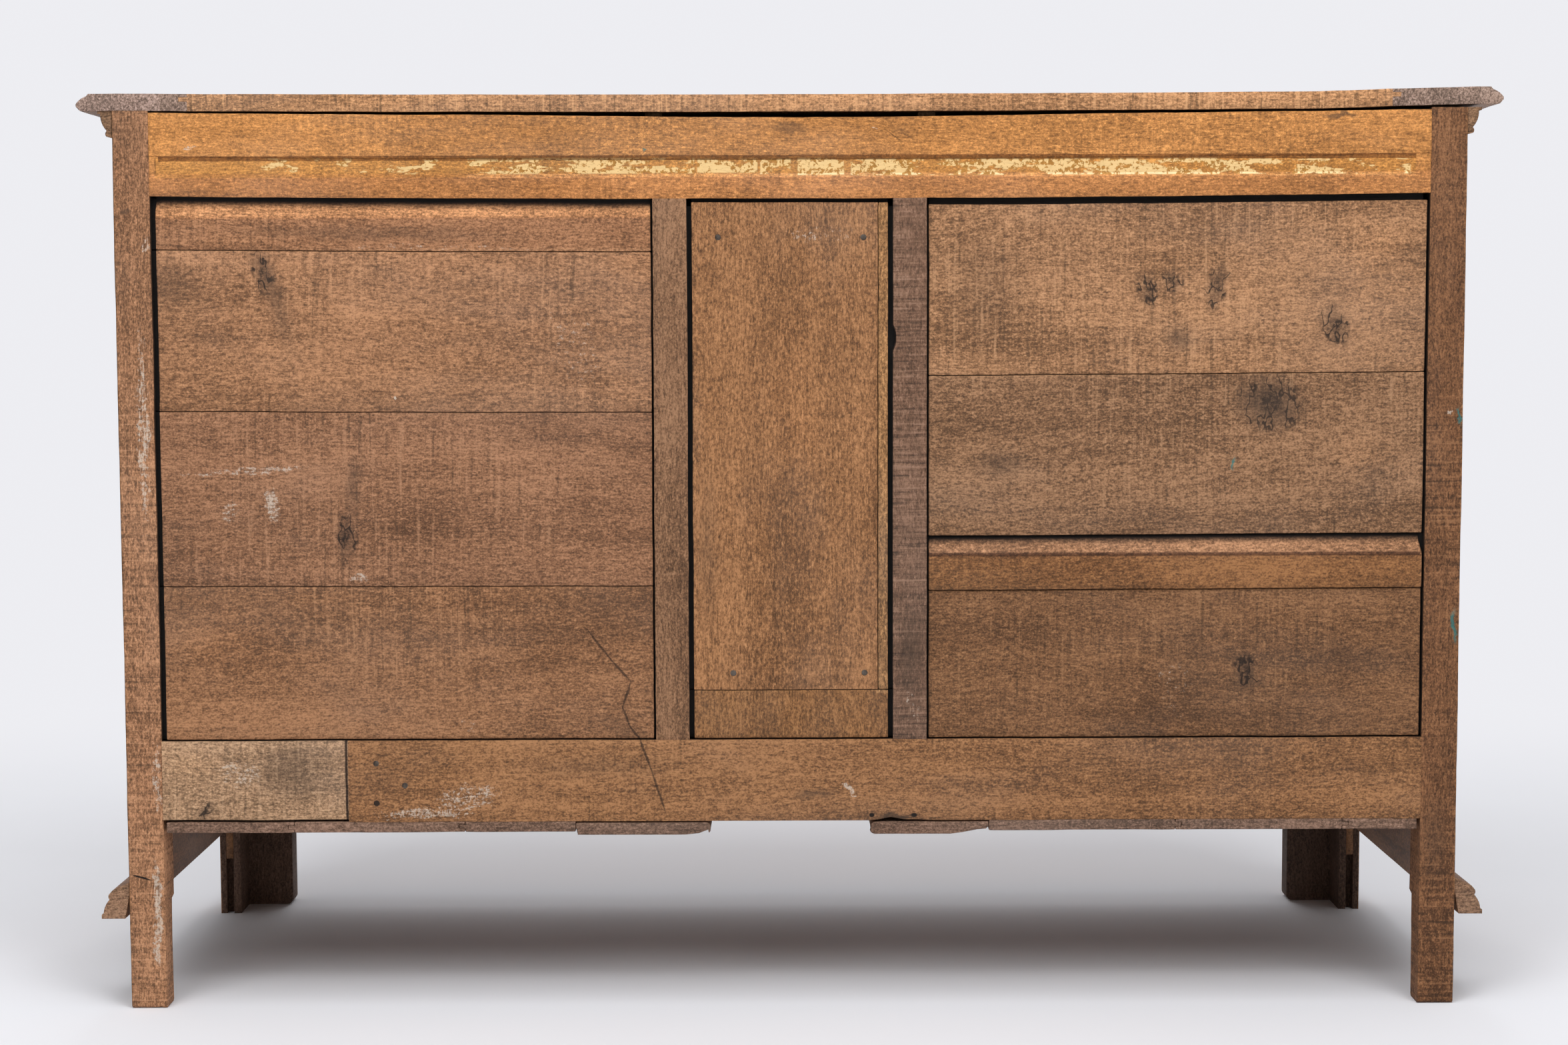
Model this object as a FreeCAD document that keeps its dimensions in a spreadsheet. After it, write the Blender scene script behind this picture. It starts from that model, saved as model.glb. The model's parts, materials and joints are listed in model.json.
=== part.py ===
import FreeCAD, Part
import math
import os
import Sketcher

# An oak sideboard, 1.1 m high: two cupboards with a stack of four drawers between them.
# Millimetres. X runs along the sideboard, Y from its front (low) to its back (high), Z up.
# The origin lies on the floor, in the middle of the space that the sideboard fills.
# Left and right are as seen by someone who stands in front of it.

# Driving sizes

SIZES = {
    # whole piece
    "total_high": 1100,
    "top_wide": 1688.6,
    "top_deep": 636,
    "case_wide": 1605,
    "case_deep": 594,
    # top
    "top_thick": 20,
    "top_end_wide": 131.3,
    "nose_flat_back": 14.8,
    "nose_step_back": 12.3,
    "nose_step_down": 3,
    "nose_drop": 12.3,
    "nose_under": 4.3,
    "nose_rise": 5,
    "top_tongue_long": 10,
    "top_tongue_thick": 5,
    "top_tongue_down": 4,
    "top_board_gap": 0.6,
    # rear posts
    "rear_post_wide": 43,
    "rear_post_deep": 47,
    "foot_deep": 36,
    "foot_step_high": 129,
    "foot_step_slope": 3,
    "foot_chamfer": 3,
    # front posts
    "front_post_wide": 90.5,
    "front_frame_thick": 35,
    "return_thick": 28.5,
    "return_deep": 57,
    "foot_round": 8,
    "corner_chamfer": 9,
    "corner_chamfer_low": 176,
    "corner_chamfer_stop": 58,
    # groove that takes the side frames
    "groove_inset": 8.6,
    "groove_wide": 10,
    "groove_deep": 12,
    "side_tongue_long": 11,
    # back frame
    "back_frame_thick": 26,
    "back_top_rail_high": 100,
    "back_top_rail_drop": 2,
    "back_bottom_rail_high": 99,
    "splice_at": 535,
    "splice_lift": 3,
    "splice_lap_long": 84,
    "rail_trench_up": 25,
    "rail_trench_high": 22,
    "rail_trench_deep": 0.8,
    "chip_at": -7,
    "chip_radius": 45,
    "chip_deep": 5,
    "back_muntin_wide": 40.3,
    "back_muntin_right_at": 123.6,
    "back_muntin_left_at": 121.8,
    "wane_down": 166,
    "wane_radius": 34,
    "wane_deep": 4,
    "tenon_long": 30,
    "tenon_thick": 10,
    "tenon_shoulder": 15,
    "muntin_tenon_long": 25,
    "muntin_tenon_shoulder": 6,
    # back boards
    "board_sunk": 3,
    "board_tongue_thick": 8,
    "board_tongue_long": 8,
    "board_groove_deep": 9,
    "board_gap": 0.8,
    "board_joint_thick": 4,
    "board_joint_high": 5,
    "board_joint_in": 2.5,
    "board_end_gap_post": 6,
    "board_end_gap_muntin": 2.5,
    "board_edge_gap": 1.5,
    "right_board_one": 63,
    "right_board_two": 191.5,
    "right_board_three": 209.5,
    "right_board_four": 187,
    "right_bevel_high": 23.5,
    "left_board_one": 211.5,
    "left_board_two": 193,
    "left_board_three": 65.5,
    "left_board_four": 181,
    "left_bevel_high": 27,
    "left_top_gap": 12,
    "centre_strip_wide": 12,
    "centre_foot_high": 60.2,
    "centre_top_gap": 8.7,
    # side frames
    "side_thick": 22,
    "side_top_rail_high": 100,
    "side_middle_rail_high": 84,
    "side_middle_rail_at": 538,
    "side_bottom_rail_low": 130,
    "side_bottom_rail_high": 112,
    "side_tongue_foot": 78,
    "panel_tongue_thick": 8,
    "panel_tongue_long": 8,
    "panel_edge_gap": 3,
    "side_panel_bevel": 38,
    "panel_face_sunk": 3,
    # front frame
    "front_rail_low": 122,
    "floor_top": 228,
    "front_top_rail_high": 80,
    "muntin_thick": 30,
    "muntin_in": 120,
    "muntin_wide": 45,
    "front_tenon_long": 45,
    "front_tenon_thick": 12,
    "divider_thick": 20,
    "divider_deep": 60,
    "divider_housing": 8,
    # inside
    "floor_thick": 13,
    "runner_board_thick": 15,
    "runner_board_drop": 2,
    "runner_board_round": 6,
    "right_runner_in": 98.5,
    "left_runner_in": 94.9,
    "floor_tongue_thick": 5,
    "floor_tongue_long": 7,
    "floor_gap": 0.6,
    "floor_side_gap": 3.5,
    "partition_at": 153,
    "partition_thick": 20,
    "runner_in": 105,
    "runner_thick": 20,
    "guide_in": 119.2,
    "guide_high": 20,
    "cleat_deep": 20,
    "cleat_high": 18,
    "shelf_low": 600,
    "shelf_thick": 20,
    "shelf_front_back": 48,
    "shelf_gap": 0.5,
    # mouldings
    "cornice_high": 32,
    "cornice_out": 17,
    "base_low": 110,
    "base_high": 154.5,
    "base_out": 34.5,
    "base_clear": 6,
    "base_seat_high": 14,
    "moulding_rear_gap": 2,
    # doors
    "door_edge_gap": 2,
    "door_hinge_gap": 1.5,
    "door_stop_gap": 0.5,
    "door_stile_wide": 75,
    "door_bottom_rail_high": 95,
    "door_top_rail_high": 112,
    "door_arch_rise": 40,
    "door_groove_back": 11,
    "door_tenon_long": 50,
    "door_panel_bevel": 44,
    "door_panel_sunk": 2,
    # hinges
    "hinge_radius": 6.5,
    "hinge_pin_radius": 4,
    "hinge_fit": 0.06,
    "hinge_knuckle_high": 54,
    "hinge_face_gap": 0.3,
    "hinge_pin_reach": 48,
    "hinge_leaf_thick": 1.8,
    "hinge_leaf_back": 24,
    "hinge_leaf_inset": 4,
    "hinge_finial_radius": 4.6,
    "hinge_finial_neck": 3,
    "hinge_from_ends": 115,
    # locks
    "lock_down": 390,
    "lock_key_from_edge": 38,
    "lock_case_wide": 58,
    "lock_case_low": 16,
    "lock_case_high": 34,
    "lock_case_deep": 14,
    "lock_case_wall": 2,
    "lock_case_from_stop": 3,
    "bolt_thick": 8,
    "bolt_high": 14,
    "bolt_long": 48,
    "bolt_up": 11,
    "bolt_back": 2,
    "bolt_throw": 12,
    "bolt_fit": 0.3,
    "bolt_keep_fit": 0.6,
    "key_radius": 3,
    "key_fit": 0.1,
    "key_hole_radius": 3.6,
    "key_bit_down": 9.6,
    "key_bit_thick": 2.4,
    "key_bit_long": 7,
    "key_bit_slot": 3.4,
    "key_bow_radius": 9.6,
    "key_bow_rod": 2.2,
    "key_bow_out": 27,
    "key_collar_radius": 4.6,
    "key_collar_long": 3,
    "key_end_sunk": 0.5,
    "escutcheon_wide": 30,
    "escutcheon_high": 62,
    "escutcheon_thick": 1.6,
    # drawers
    "drawer_gap": 1.5,
    "drawer_front_thick": 24,
    "drawer_side_thick": 12,
    "drawer_side_gap": 2.5,
    "drawer_side_high": 150,
    "drawer_side_clear": 28,
    "drawer_lap": 6,
    "drawer_tail_narrow": 12,
    "drawer_tail_flare": 4,
    "drawer_back_gap": 40,
    "drawer_back_up": 20,
    "drawer_bottom_up": 10,
    "drawer_bottom_thick": 8,
    "drawer_bottom_groove": 5,
    "drawer_run_gap": 0.3,
    "drawer_field_margin": 11,
    "drawer_field_bevel": 12,
    "drawer_field_out": 4,
    # pulls
    "plate_wide": 104,
    "plate_high": 38,
    "plate_thick": 2,
    "eye_apart": 64,
    "eye_out": 9,
    "eye_radius": 5.2,
    "eye_post_radius": 4,
    "bail_rod": 2.4,
    "bail_fit": 0.06,
    "bail_end_in": 5,
    "bail_shoulder": 8,
    "bail_bend": 5,
    "bail_drop": 36,
    "bail_corner": 16,
    # pegs and nails
    "peg_radius": 4.5,
    "peg_long": 15,
    "peg_sunk": 0.4,
    "nail_head_radius": 3.6,
    "nail_head_thick": 1.2,
    "nail_shank_radius": 1.6,
    "nail_long": 20,
    "nail_short": 11,
    # fits
    "fit_gap": 0.2,
    "overrun": 6,
}

doc = FreeCAD.newDocument("sideboard")
sheet = doc.addObject("Spreadsheet::Sheet", "Sizes")


class Dimension:
    """A length held twice: as an expression on the sheet, and as the number it has now."""

    def __init__(self, text, number):
        self.text = text
        self.number = number

    def combined(self, sign, other, number):
        return Dimension(f"({self.text} {sign} {text_of(other)})", number)

    def __add__(self, other):
        return self.combined("+", other, self.number + number_of(other))

    def __sub__(self, other):
        return self.combined("-", other, self.number - number_of(other))

    def __mul__(self, other):
        return self.combined("*", other, self.number * number_of(other))

    def __truediv__(self, other):
        return self.combined("/", other, self.number / number_of(other))

    def __neg__(self):
        return Dimension(f"(0 - {self.text})", -self.number)

    def root(self):
        return Dimension(f"sqrt({self.text})", math.sqrt(self.number))


def text_of(value):
    return value.text if isinstance(value, Dimension) else str(value)


def number_of(value):
    return value.number if isinstance(value, Dimension) else value


class Named:
    """The driving sizes by name."""


s = Named()
for row, (name, number) in enumerate(SIZES.items(), start=1):
    cell = f"A{row}"
    sheet.set(cell, str(number))
    sheet.setAlias(cell, name)
    setattr(s, name, Dimension(f"Sizes.{name}", number))
doc.recompute()

ZERO = Dimension("0", 0)
LEFT, RIGHT = -1, 1
SIDES = ((LEFT, "left"), (RIGHT, "right"))

# Places worked out from the sizes

REAR = s.top_deep / 2
FACE = REAR - s.case_deep
SIDE = s.case_wide / 2
TOP_UNDER = s.total_high - s.top_thick
POST_IN = SIDE - s.rear_post_wide
POST_FRONT = REAR - s.rear_post_deep
BACK_IN = REAR - s.back_frame_thick
BACK_MID = REAR - s.back_frame_thick / 2
FRAME_IN = FACE + s.front_frame_thick
STILE_IN = SIDE - s.front_post_wide
RETURN_IN = SIDE - s.return_thick
RETURN_END = FRAME_IN + s.return_deep
GROOVE_OUT = SIDE - s.groove_inset
GROOVE_IN = GROOVE_OUT - s.groove_wide
GROOVE_MID = (GROOVE_IN + GROOVE_OUT) / 2
SIDE_IN = SIDE - s.side_thick
BACK_RAIL_TOP = s.floor_top + s.back_bottom_rail_high
BACK_TOP_RAIL_TOP = TOP_UNDER - s.back_top_rail_drop
BACK_TOP_RAIL_LOW = BACK_TOP_RAIL_TOP - s.back_top_rail_high
MUNTIN_OUT = s.muntin_in + s.muntin_wide
MUNTIN_BACK = FACE + s.muntin_thick
PARTITION_OUT = s.partition_at + s.partition_thick
FLOOR_UNDER = s.floor_top - s.floor_thick
RUNNER_BOARD_TOP = s.floor_top - s.runner_board_drop
RUNNER_BOARD_UNDER = RUNNER_BOARD_TOP - s.runner_board_thick
OPENING_TOP = TOP_UNDER - s.front_top_rail_high
DRAWERS = 4
OPENING_HIGH = (OPENING_TOP - s.floor_top - s.divider_thick * (DRAWERS - 1)) / DRAWERS
DRAWER_SIDE_HIGH = OPENING_HIGH * s.drawer_side_high / (s.drawer_side_high + s.drawer_side_clear)
BOARD_IN = BACK_MID - s.board_tongue_thick / 2
BOARD_TONGUE_OUT = BACK_MID + s.board_tongue_thick / 2
HINGE_X = STILE_IN - s.door_hinge_gap / 2
LOCK_AT = OPENING_TOP - s.lock_down
HINGE_Y = FACE - s.hinge_radius - s.hinge_face_gap
LOCK_KEY_X = MUNTIN_OUT + s.door_edge_gap + s.lock_key_from_edge
DOOR_BACK = MUNTIN_BACK - s.door_stop_gap

# Tools for shaping


def new(kind, stem="Piece"):
    return doc.addObject(kind, stem)


def block(x, y, z):
    """A box between three pairs of places."""
    box = new("Part::Box", "Block")
    for size, place, (low, high) in zip(("Length", "Width", "Height"), "xyz", (x, y, z)):
        box.setExpression(size, (high - low).text)
        box.setExpression(f"Placement.Base.{place}", low.text)
    return box


def grown(space, gap):
    """The same three pairs, each moved outwards by a gap."""
    return tuple((low - gap, high + gap) for low, high in space)


def rod(axis, radius, centre, low, high):
    """A cylinder along X, Y or Z: centre holds the other two places, in their order."""
    turn = {
        "x": FreeCAD.Rotation(FreeCAD.Vector(0, 1, 0), 90),
        "y": FreeCAD.Rotation(FreeCAD.Vector(1, 0, 0), -90),
        "z": FreeCAD.Rotation(),
    }[axis]
    cylinder = new("Part::Cylinder", "Rod")
    cylinder.Placement = FreeCAD.Placement(FreeCAD.Vector(), turn)
    cylinder.setExpression("Radius", radius.text)
    cylinder.setExpression("Height", (high - low).text)
    cylinder.setExpression(f"Placement.Base.{axis}", low.text)
    for place, value in zip("xyz".replace(axis, ""), centre):
        cylinder.setExpression(f"Placement.Base.{place}", value.text)
    return cylinder


def ball(radius, x, y, z):
    sphere = new("Part::Sphere", "Ball")
    sphere.setExpression("Radius", radius.text)
    for place, value in zip("xyz", (x, y, z)):
        sphere.setExpression(f"Placement.Base.{place}", value.text)
    return sphere


def fuse(*pieces):
    if len(pieces) == 1:
        return pieces[0]
    joined = new("Part::MultiFuse", "Joined")
    joined.Shapes = list(pieces)
    joined.Refine = True
    return joined


def cut(base, *tools):
    result = new("Part::Cut", "Shaped")
    result.Base = base
    result.Tool = fuse(*tools)
    result.Refine = True
    return result


def common(one, other):
    result = new("Part::Common", "Shared")
    result.Base = one
    result.Tool = other
    return result


nodes = {}


def node(label, *pieces):
    """Gives one sub-part its name. Separate solids of one node are kept as a group."""
    result = pieces[0]
    if len(pieces) > 1:
        result = new("Part::Compound", "Group")
        result.Links = list(pieces)
    result.Label = label
    nodes[label] = result
    return result


def sided(side, outline):
    """An outline drawn for the right side, mirrored for the left."""
    if side == RIGHT:
        return outline
    return [(-point[0], point[1]) + tuple(-radius for radius in point[2:]) for point in outline]


def span(side, near, far):
    """A pair of X places, given by their distances from the middle."""
    return (near, far) if side == RIGHT else (-far, -near)


def arc_centre(start, end, radius):
    """Centre of the short arc between two points: on the left of the way for a radius above 0."""
    way_x, way_y = end[0] - start[0], end[1] - start[1]
    chord = math.hypot(way_x, way_y)
    rise = math.sqrt(max(radius * radius - chord * chord / 4, 0))
    hand = math.copysign(1, radius)
    middle = ((start[0] + end[0]) / 2, (start[1] + end[1]) / 2)
    return middle[0] - hand * way_y * rise / chord, middle[1] + hand * way_x * rise / chord


def sketch_on(body, plane, height, outline):
    """A closed sketch on one of the body's planes. A third value bends the way to the next point."""
    sketch = body.newObject("Sketcher::SketchObject", "Outline")
    support = [feature for feature in body.Origin.OriginFeatures if feature.Role == plane]
    sketch.AttachmentSupport = [(support[0], "")]
    sketch.MapMode = "FlatFace"
    offset = -height if plane == "XZ_Plane" else height
    sketch.setExpression("AttachmentOffset.Base.z", offset.text)
    points = [(point[0].number, point[1].number) for point in outline]
    ends = []
    for index, point in enumerate(outline):
        start, end = points[index], points[(index + 1) % len(points)]
        if len(point) == 2:
            line = Part.LineSegment(FreeCAD.Vector(*start, 0), FreeCAD.Vector(*end, 0))
            sketch.addGeometry(line)
            ends.append((1, 2))
            continue
        radius = point[2].number
        centre = arc_centre(start, end, radius)
        turns = [math.atan2(place[1] - centre[1], place[0] - centre[0]) for place in (start, end)]
        if radius < 0:
            turns.reverse()
        if turns[1] < turns[0]:
            turns[1] += 2 * math.pi
        circle = Part.Circle(FreeCAD.Vector(*centre, 0), FreeCAD.Vector(0, 0, 1), abs(radius))
        sketch.addGeometry(Part.ArcOfCircle(circle, *turns))
        ends.append((1, 2) if radius > 0 else (2, 1))
    for index, point in enumerate(outline):
        following = (index + 1) % len(outline)
        join = Sketcher.Constraint("Coincident", index, ends[index][1], following, ends[following][0])
        sketch.addConstraint(join)
        for kind, value in zip(("DistanceX", "DistanceY"), point):
            rule = Sketcher.Constraint(kind, -1, 1, index, ends[index][0], value.number)
            number = sketch.addConstraint(rule)
            sketch.setExpression(f"Constraints[{number}]", value.text)
        if len(point) == 3:
            radius = point[2] if point[2].number > 0 else -point[2]
            number = sketch.addConstraint(Sketcher.Constraint("Radius", index, radius.number))
            sketch.setExpression(f"Constraints[{number}]", radius.text)
    return sketch


def padded(body, plane, outline, low, high):
    """A straight pad of an outline between two places along the plane's own axis."""
    start = high if plane == "XZ_Plane" else low
    pad = body.newObject("PartDesign::Pad", "Pad")
    pad.Profile = sketch_on(body, plane, start, outline)
    pad.setExpression("Length", (high - low).text)
    return pad


def bar(plane, outline, low, high):
    body = new("PartDesign::Body", "Bar")
    padded(body, plane, outline, low, high)
    return body


def raised_panel(plane, plate, plate_low, plate_high, foot, foot_place, crest, crest_place):
    """A flat plate with a bevelled field that stands up from one of its faces."""
    body = bar(plane, plate, plate_low, plate_high)
    loft = body.newObject("PartDesign::AdditiveLoft", "Field")
    loft.Profile = sketch_on(body, plane, foot_place, foot)
    loft.Sections = [sketch_on(body, plane, crest_place, crest)]
    loft.Ruled = True
    return body


def rectangle(across, up):
    return [(across[0], up[0]), (across[1], up[0]), (across[1], up[1]), (across[0], up[1])]


def inset(pair, gap):
    return pair[0] + gap, pair[1] - gap


# Pegs and nails of the back, made first because the pieces they fasten are drilled for them

# Pegs through the muntins' tenons stand at shares of the rails' heights, and pegs through the
# rails' tenons at shares of the tenon's length and the top rail's height.
UPPER_PEG_SHARES = {"right": 0.07, "left": 0.077}
LOWER_PEG_SHARES = {"right": 0.874, "left": 0.859}
POST_PEG_SHARES = [(RIGHT, 0.42, 0.77), (LEFT, 0.25, 0.67), (LEFT, 0.25, 0.24)]
BACK_MUNTINS = {
    "left": (-s.back_muntin_left_at - s.back_muntin_wide, -s.back_muntin_left_at),
    "right": (s.back_muntin_right_at, s.back_muntin_right_at + s.back_muntin_wide),
}
PEG_PLACES = []
for hand, (edge_one, edge_two) in BACK_MUNTINS.items():
    middle = (edge_one + edge_two) / 2
    PEG_PLACES.append((middle, BACK_TOP_RAIL_LOW + s.back_top_rail_high * UPPER_PEG_SHARES[hand]))
    PEG_PLACES.append((middle, s.floor_top + s.back_bottom_rail_high * LOWER_PEG_SHARES[hand]))
for hand, across_share, up_share in POST_PEG_SHARES:
    place = POST_IN + s.tenon_long * across_share
    up = BACK_TOP_RAIL_LOW + s.back_top_rail_high * up_share
    PEG_PLACES.append((place if hand == RIGHT else -place, up))


def peg(x, z):
    return rod("y", s.peg_radius, (x, z), REAR - s.peg_long, REAR - s.peg_sunk)


def nail(x, z, surface, long):
    head = rod("y", s.nail_head_radius, (x, z), surface - s.nail_head_thick, surface)
    return fuse(head, rod("y", s.nail_shank_radius, (x, z), surface - long, surface))


BOARD_FACE = REAR - s.board_sunk
CENTRE_FOOT_TOP = BACK_RAIL_TOP + s.centre_foot_high
# Nails of the spliced rail: shares of the lap's length and of the rail's height.
RAIL_NAIL_SHARES = [(0.6, 0.72), (0.19, 0.45), (0.6, 0.23)]
# Nails of the centre board: shares of the way to each muntin and of the board's height.
BOARD_NAIL_SHARES = [(0.7, 0.922), (-0.7, 0.922), (0.57, 0.035), (-0.71, 0.035)]
pegs = node("pegs", *[peg(x, z) for x, z in PEG_PLACES])
rail_nails = []
for across_share, up_share in RAIL_NAIL_SHARES:
    place = s.splice_at - s.splice_lap_long + s.splice_lap_long * across_share
    up = s.floor_top + s.back_bottom_rail_high * up_share
    rail_nails.append(nail(place, up, REAR, s.nail_long))
board_nails = []
for across_share, up_share in BOARD_NAIL_SHARES:
    place = s.back_muntin_right_at * across_share
    up = CENTRE_FOOT_TOP + (BACK_TOP_RAIL_LOW - CENTRE_FOOT_TOP) * up_share
    board_nails.append(nail(place, up, BOARD_FACE, s.nail_short))
nails = node("nails", *rail_nails, *board_nails)

# Tenons of the back rails and muntins

BACK_TENON = (BACK_MID - s.tenon_thick / 2, BACK_MID + s.tenon_thick / 2)
TOP_TENON_Z = inset((BACK_TOP_RAIL_LOW, BACK_TOP_RAIL_TOP), s.tenon_shoulder)
BOTTOM_TENON_Z = inset((s.floor_top, BACK_RAIL_TOP), s.tenon_shoulder)
BACK_GROOVE = (BOARD_IN - s.fit_gap, BOARD_TONGUE_OUT + s.fit_gap)


def back_tenon(side, heights):
    return span(side, POST_IN, POST_IN + s.tenon_long), BACK_TENON, heights


def muntin_tenons(left, right):
    across = inset((left, right), s.muntin_tenon_shoulder)
    upper = (across, BACK_TENON, (BACK_TOP_RAIL_LOW, BACK_TOP_RAIL_LOW + s.muntin_tenon_long))
    lower = (across, BACK_TENON, (BACK_RAIL_TOP - s.muntin_tenon_long, BACK_RAIL_TOP))
    return upper, lower


UPPER_TENONS = [muntin_tenons(*edges)[0] for edges in BACK_MUNTINS.values()]
LOWER_TENONS = [muntin_tenons(*edges)[1] for edges in BACK_MUNTINS.values()]


def make_rear_posts():
    """Plain square posts, a little thinner from front to back below the frames."""
    step_top = s.foot_step_high + s.foot_step_slope / 2
    step_low = s.foot_step_high - s.foot_step_slope / 2
    foot_front = REAR - s.foot_deep
    outline = [
        (REAR - s.foot_chamfer, ZERO),
        (REAR, s.foot_chamfer),
        (REAR, TOP_UNDER),
        (POST_FRONT, TOP_UNDER),
        (POST_FRONT, step_top),
        (foot_front, step_low),
        (foot_front, s.foot_chamfer),
        (foot_front + s.foot_chamfer, ZERO),
    ]
    for side, name in SIDES:
        stock = bar("YZ_Plane", outline, *span(side, POST_IN, SIDE))
        top_mortise = block(*grown(back_tenon(side, TOP_TENON_Z), s.fit_gap))
        low_mortise = block(*grown(back_tenon(side, BOTTOM_TENON_Z), s.fit_gap))
        board_groove = block(
            span(side, POST_IN - s.overrun, POST_IN + s.board_groove_deep),
            BACK_GROOVE,
            (BACK_RAIL_TOP, BACK_TOP_RAIL_LOW),
        )
        frame_groove = block(
            span(side, GROOVE_IN, GROOVE_OUT),
            (POST_FRONT - s.overrun, POST_FRONT + s.groove_deep),
            (s.side_bottom_rail_low - s.fit_gap, TOP_UNDER + s.overrun),
        )
        shaped = cut(stock, top_mortise, low_mortise, board_groove, frame_groove)
        node(f"rear_post_{name}", cut(shaped, pegs))


def make_back_rails():
    """Top rail, bottom rail and the short length that was let into the bottom rail's end."""
    trench_low = BACK_TOP_RAIL_LOW + s.rail_trench_up
    groove_low = (BACK_TOP_RAIL_LOW - s.overrun, BACK_TOP_RAIL_LOW + s.board_groove_deep)
    top = fuse(
        block((-POST_IN, POST_IN), (BACK_IN, REAR), (BACK_TOP_RAIL_LOW, BACK_TOP_RAIL_TOP)),
        *[block(*back_tenon(side, TOP_TENON_Z)) for side in (LEFT, RIGHT)],
    )
    trench = block(
        (-POST_IN, POST_IN),
        (REAR - s.rail_trench_deep, REAR + s.overrun),
        (trench_low, trench_low + s.rail_trench_high),
    )
    groove = block((-POST_IN, POST_IN), BACK_GROOVE, groove_low)
    chip = ball(s.chip_radius, s.chip_at, REAR + s.chip_radius - s.chip_deep, BACK_TOP_RAIL_TOP)
    mortises = [block(*grown(space, s.fit_gap)) for space in UPPER_TENONS]
    node("back_top_rail", cut(cut(top, trench, groove, chip, *mortises), pegs))

    groove_high = (BACK_RAIL_TOP - s.board_groove_deep, BACK_RAIL_TOP + s.overrun)
    groove = block((-POST_IN, POST_IN), BACK_GROOVE, groove_high)
    lap = (
        (s.splice_at - s.splice_lap_long, s.splice_at),
        (BACK_IN, BOARD_IN - s.fit_gap - s.board_gap),
        inset((s.floor_top, BACK_RAIL_TOP), s.tenon_shoulder),
    )
    bottom = fuse(
        block((-POST_IN, s.splice_at), (BACK_IN, REAR), (s.floor_top, BACK_RAIL_TOP)),
        block(*back_tenon(LEFT, BOTTOM_TENON_Z)),
    )
    mortises = [block(*grown(space, s.fit_gap)) for space in LOWER_TENONS]
    notch = block(*grown(lap, s.fit_gap))
    node("back_bottom_rail", cut(cut(bottom, groove, notch, *mortises), pegs, *rail_nails))
    splice = fuse(
        block((s.splice_at, POST_IN), (BACK_IN, REAR), (s.floor_top + s.splice_lift, BACK_RAIL_TOP)),
        block(*back_tenon(RIGHT, BOTTOM_TENON_Z)),
        block(*lap),
    )
    node("back_rail_splice", cut(splice, groove, *rail_nails))


def make_back_muntins():
    for name, (left, right) in BACK_MUNTINS.items():
        rails = (BACK_RAIL_TOP, BACK_TOP_RAIL_LOW)
        stock = fuse(
            block((left, right), (BACK_IN, REAR), rails),
            *[block(*space) for space in muntin_tenons(left, right)],
        )
        grooves = [
            block((left - s.overrun, left + s.board_groove_deep), BACK_GROOVE, rails),
            block((right - s.board_groove_deep, right + s.overrun), BACK_GROOVE, rails),
        ]
        if name == "left":
            wane_x = right + s.wane_radius - s.wane_deep
            grooves.append(ball(s.wane_radius, wane_x, REAR, BACK_TOP_RAIL_LOW - s.wane_down))
        node(f"back_muntin_{name}", cut(cut(stock, *grooves), pegs))


def back_board(field, frame, low, high, face, foot_rail=False, head_rail=False, bevel=None):
    """One horizontal board: ends in the grooves of a post and a muntin, edges in its neighbours."""
    joint_in = BOARD_IN + s.board_joint_in
    joint_out = joint_in + s.board_joint_thick
    outline = []
    if foot_rail:
        outline += [
            (BOARD_IN, low - s.board_edge_gap - s.board_tongue_long),
            (BOARD_TONGUE_OUT, low - s.board_edge_gap - s.board_tongue_long),
            (BOARD_TONGUE_OUT, low),
        ]
    else:
        slot = low + s.board_joint_high + s.board_gap
        outline += [(BOARD_IN, low), (joint_in, low), (joint_in, slot), (joint_out, slot), (joint_out, low)]
    outline.append((face, low))
    if bevel is None:
        outline.append((face, high))
    else:
        outline += [(face, bevel), (BOARD_TONGUE_OUT, high)]
    if head_rail:
        tip = BACK_TOP_RAIL_LOW + s.board_tongue_long
        if bevel is None:
            outline.append((BOARD_TONGUE_OUT, high))
        outline += [(BOARD_TONGUE_OUT, tip), (BOARD_IN, tip)]
    else:
        tip = high + s.board_joint_high
        outline += [(joint_out, high), (joint_out, tip), (joint_in, tip), (joint_in, high), (BOARD_IN, high)]
    stock = bar("YZ_Plane", outline, *field)
    tongue = (BOARD_IN, BOARD_TONGUE_OUT)
    near = block((frame[0] - s.board_tongue_long, field[0]), tongue, (low, high))
    far = block((field[1], frame[1] + s.board_tongue_long), tongue, (low, high))
    return fuse(stock, near, far)


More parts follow.
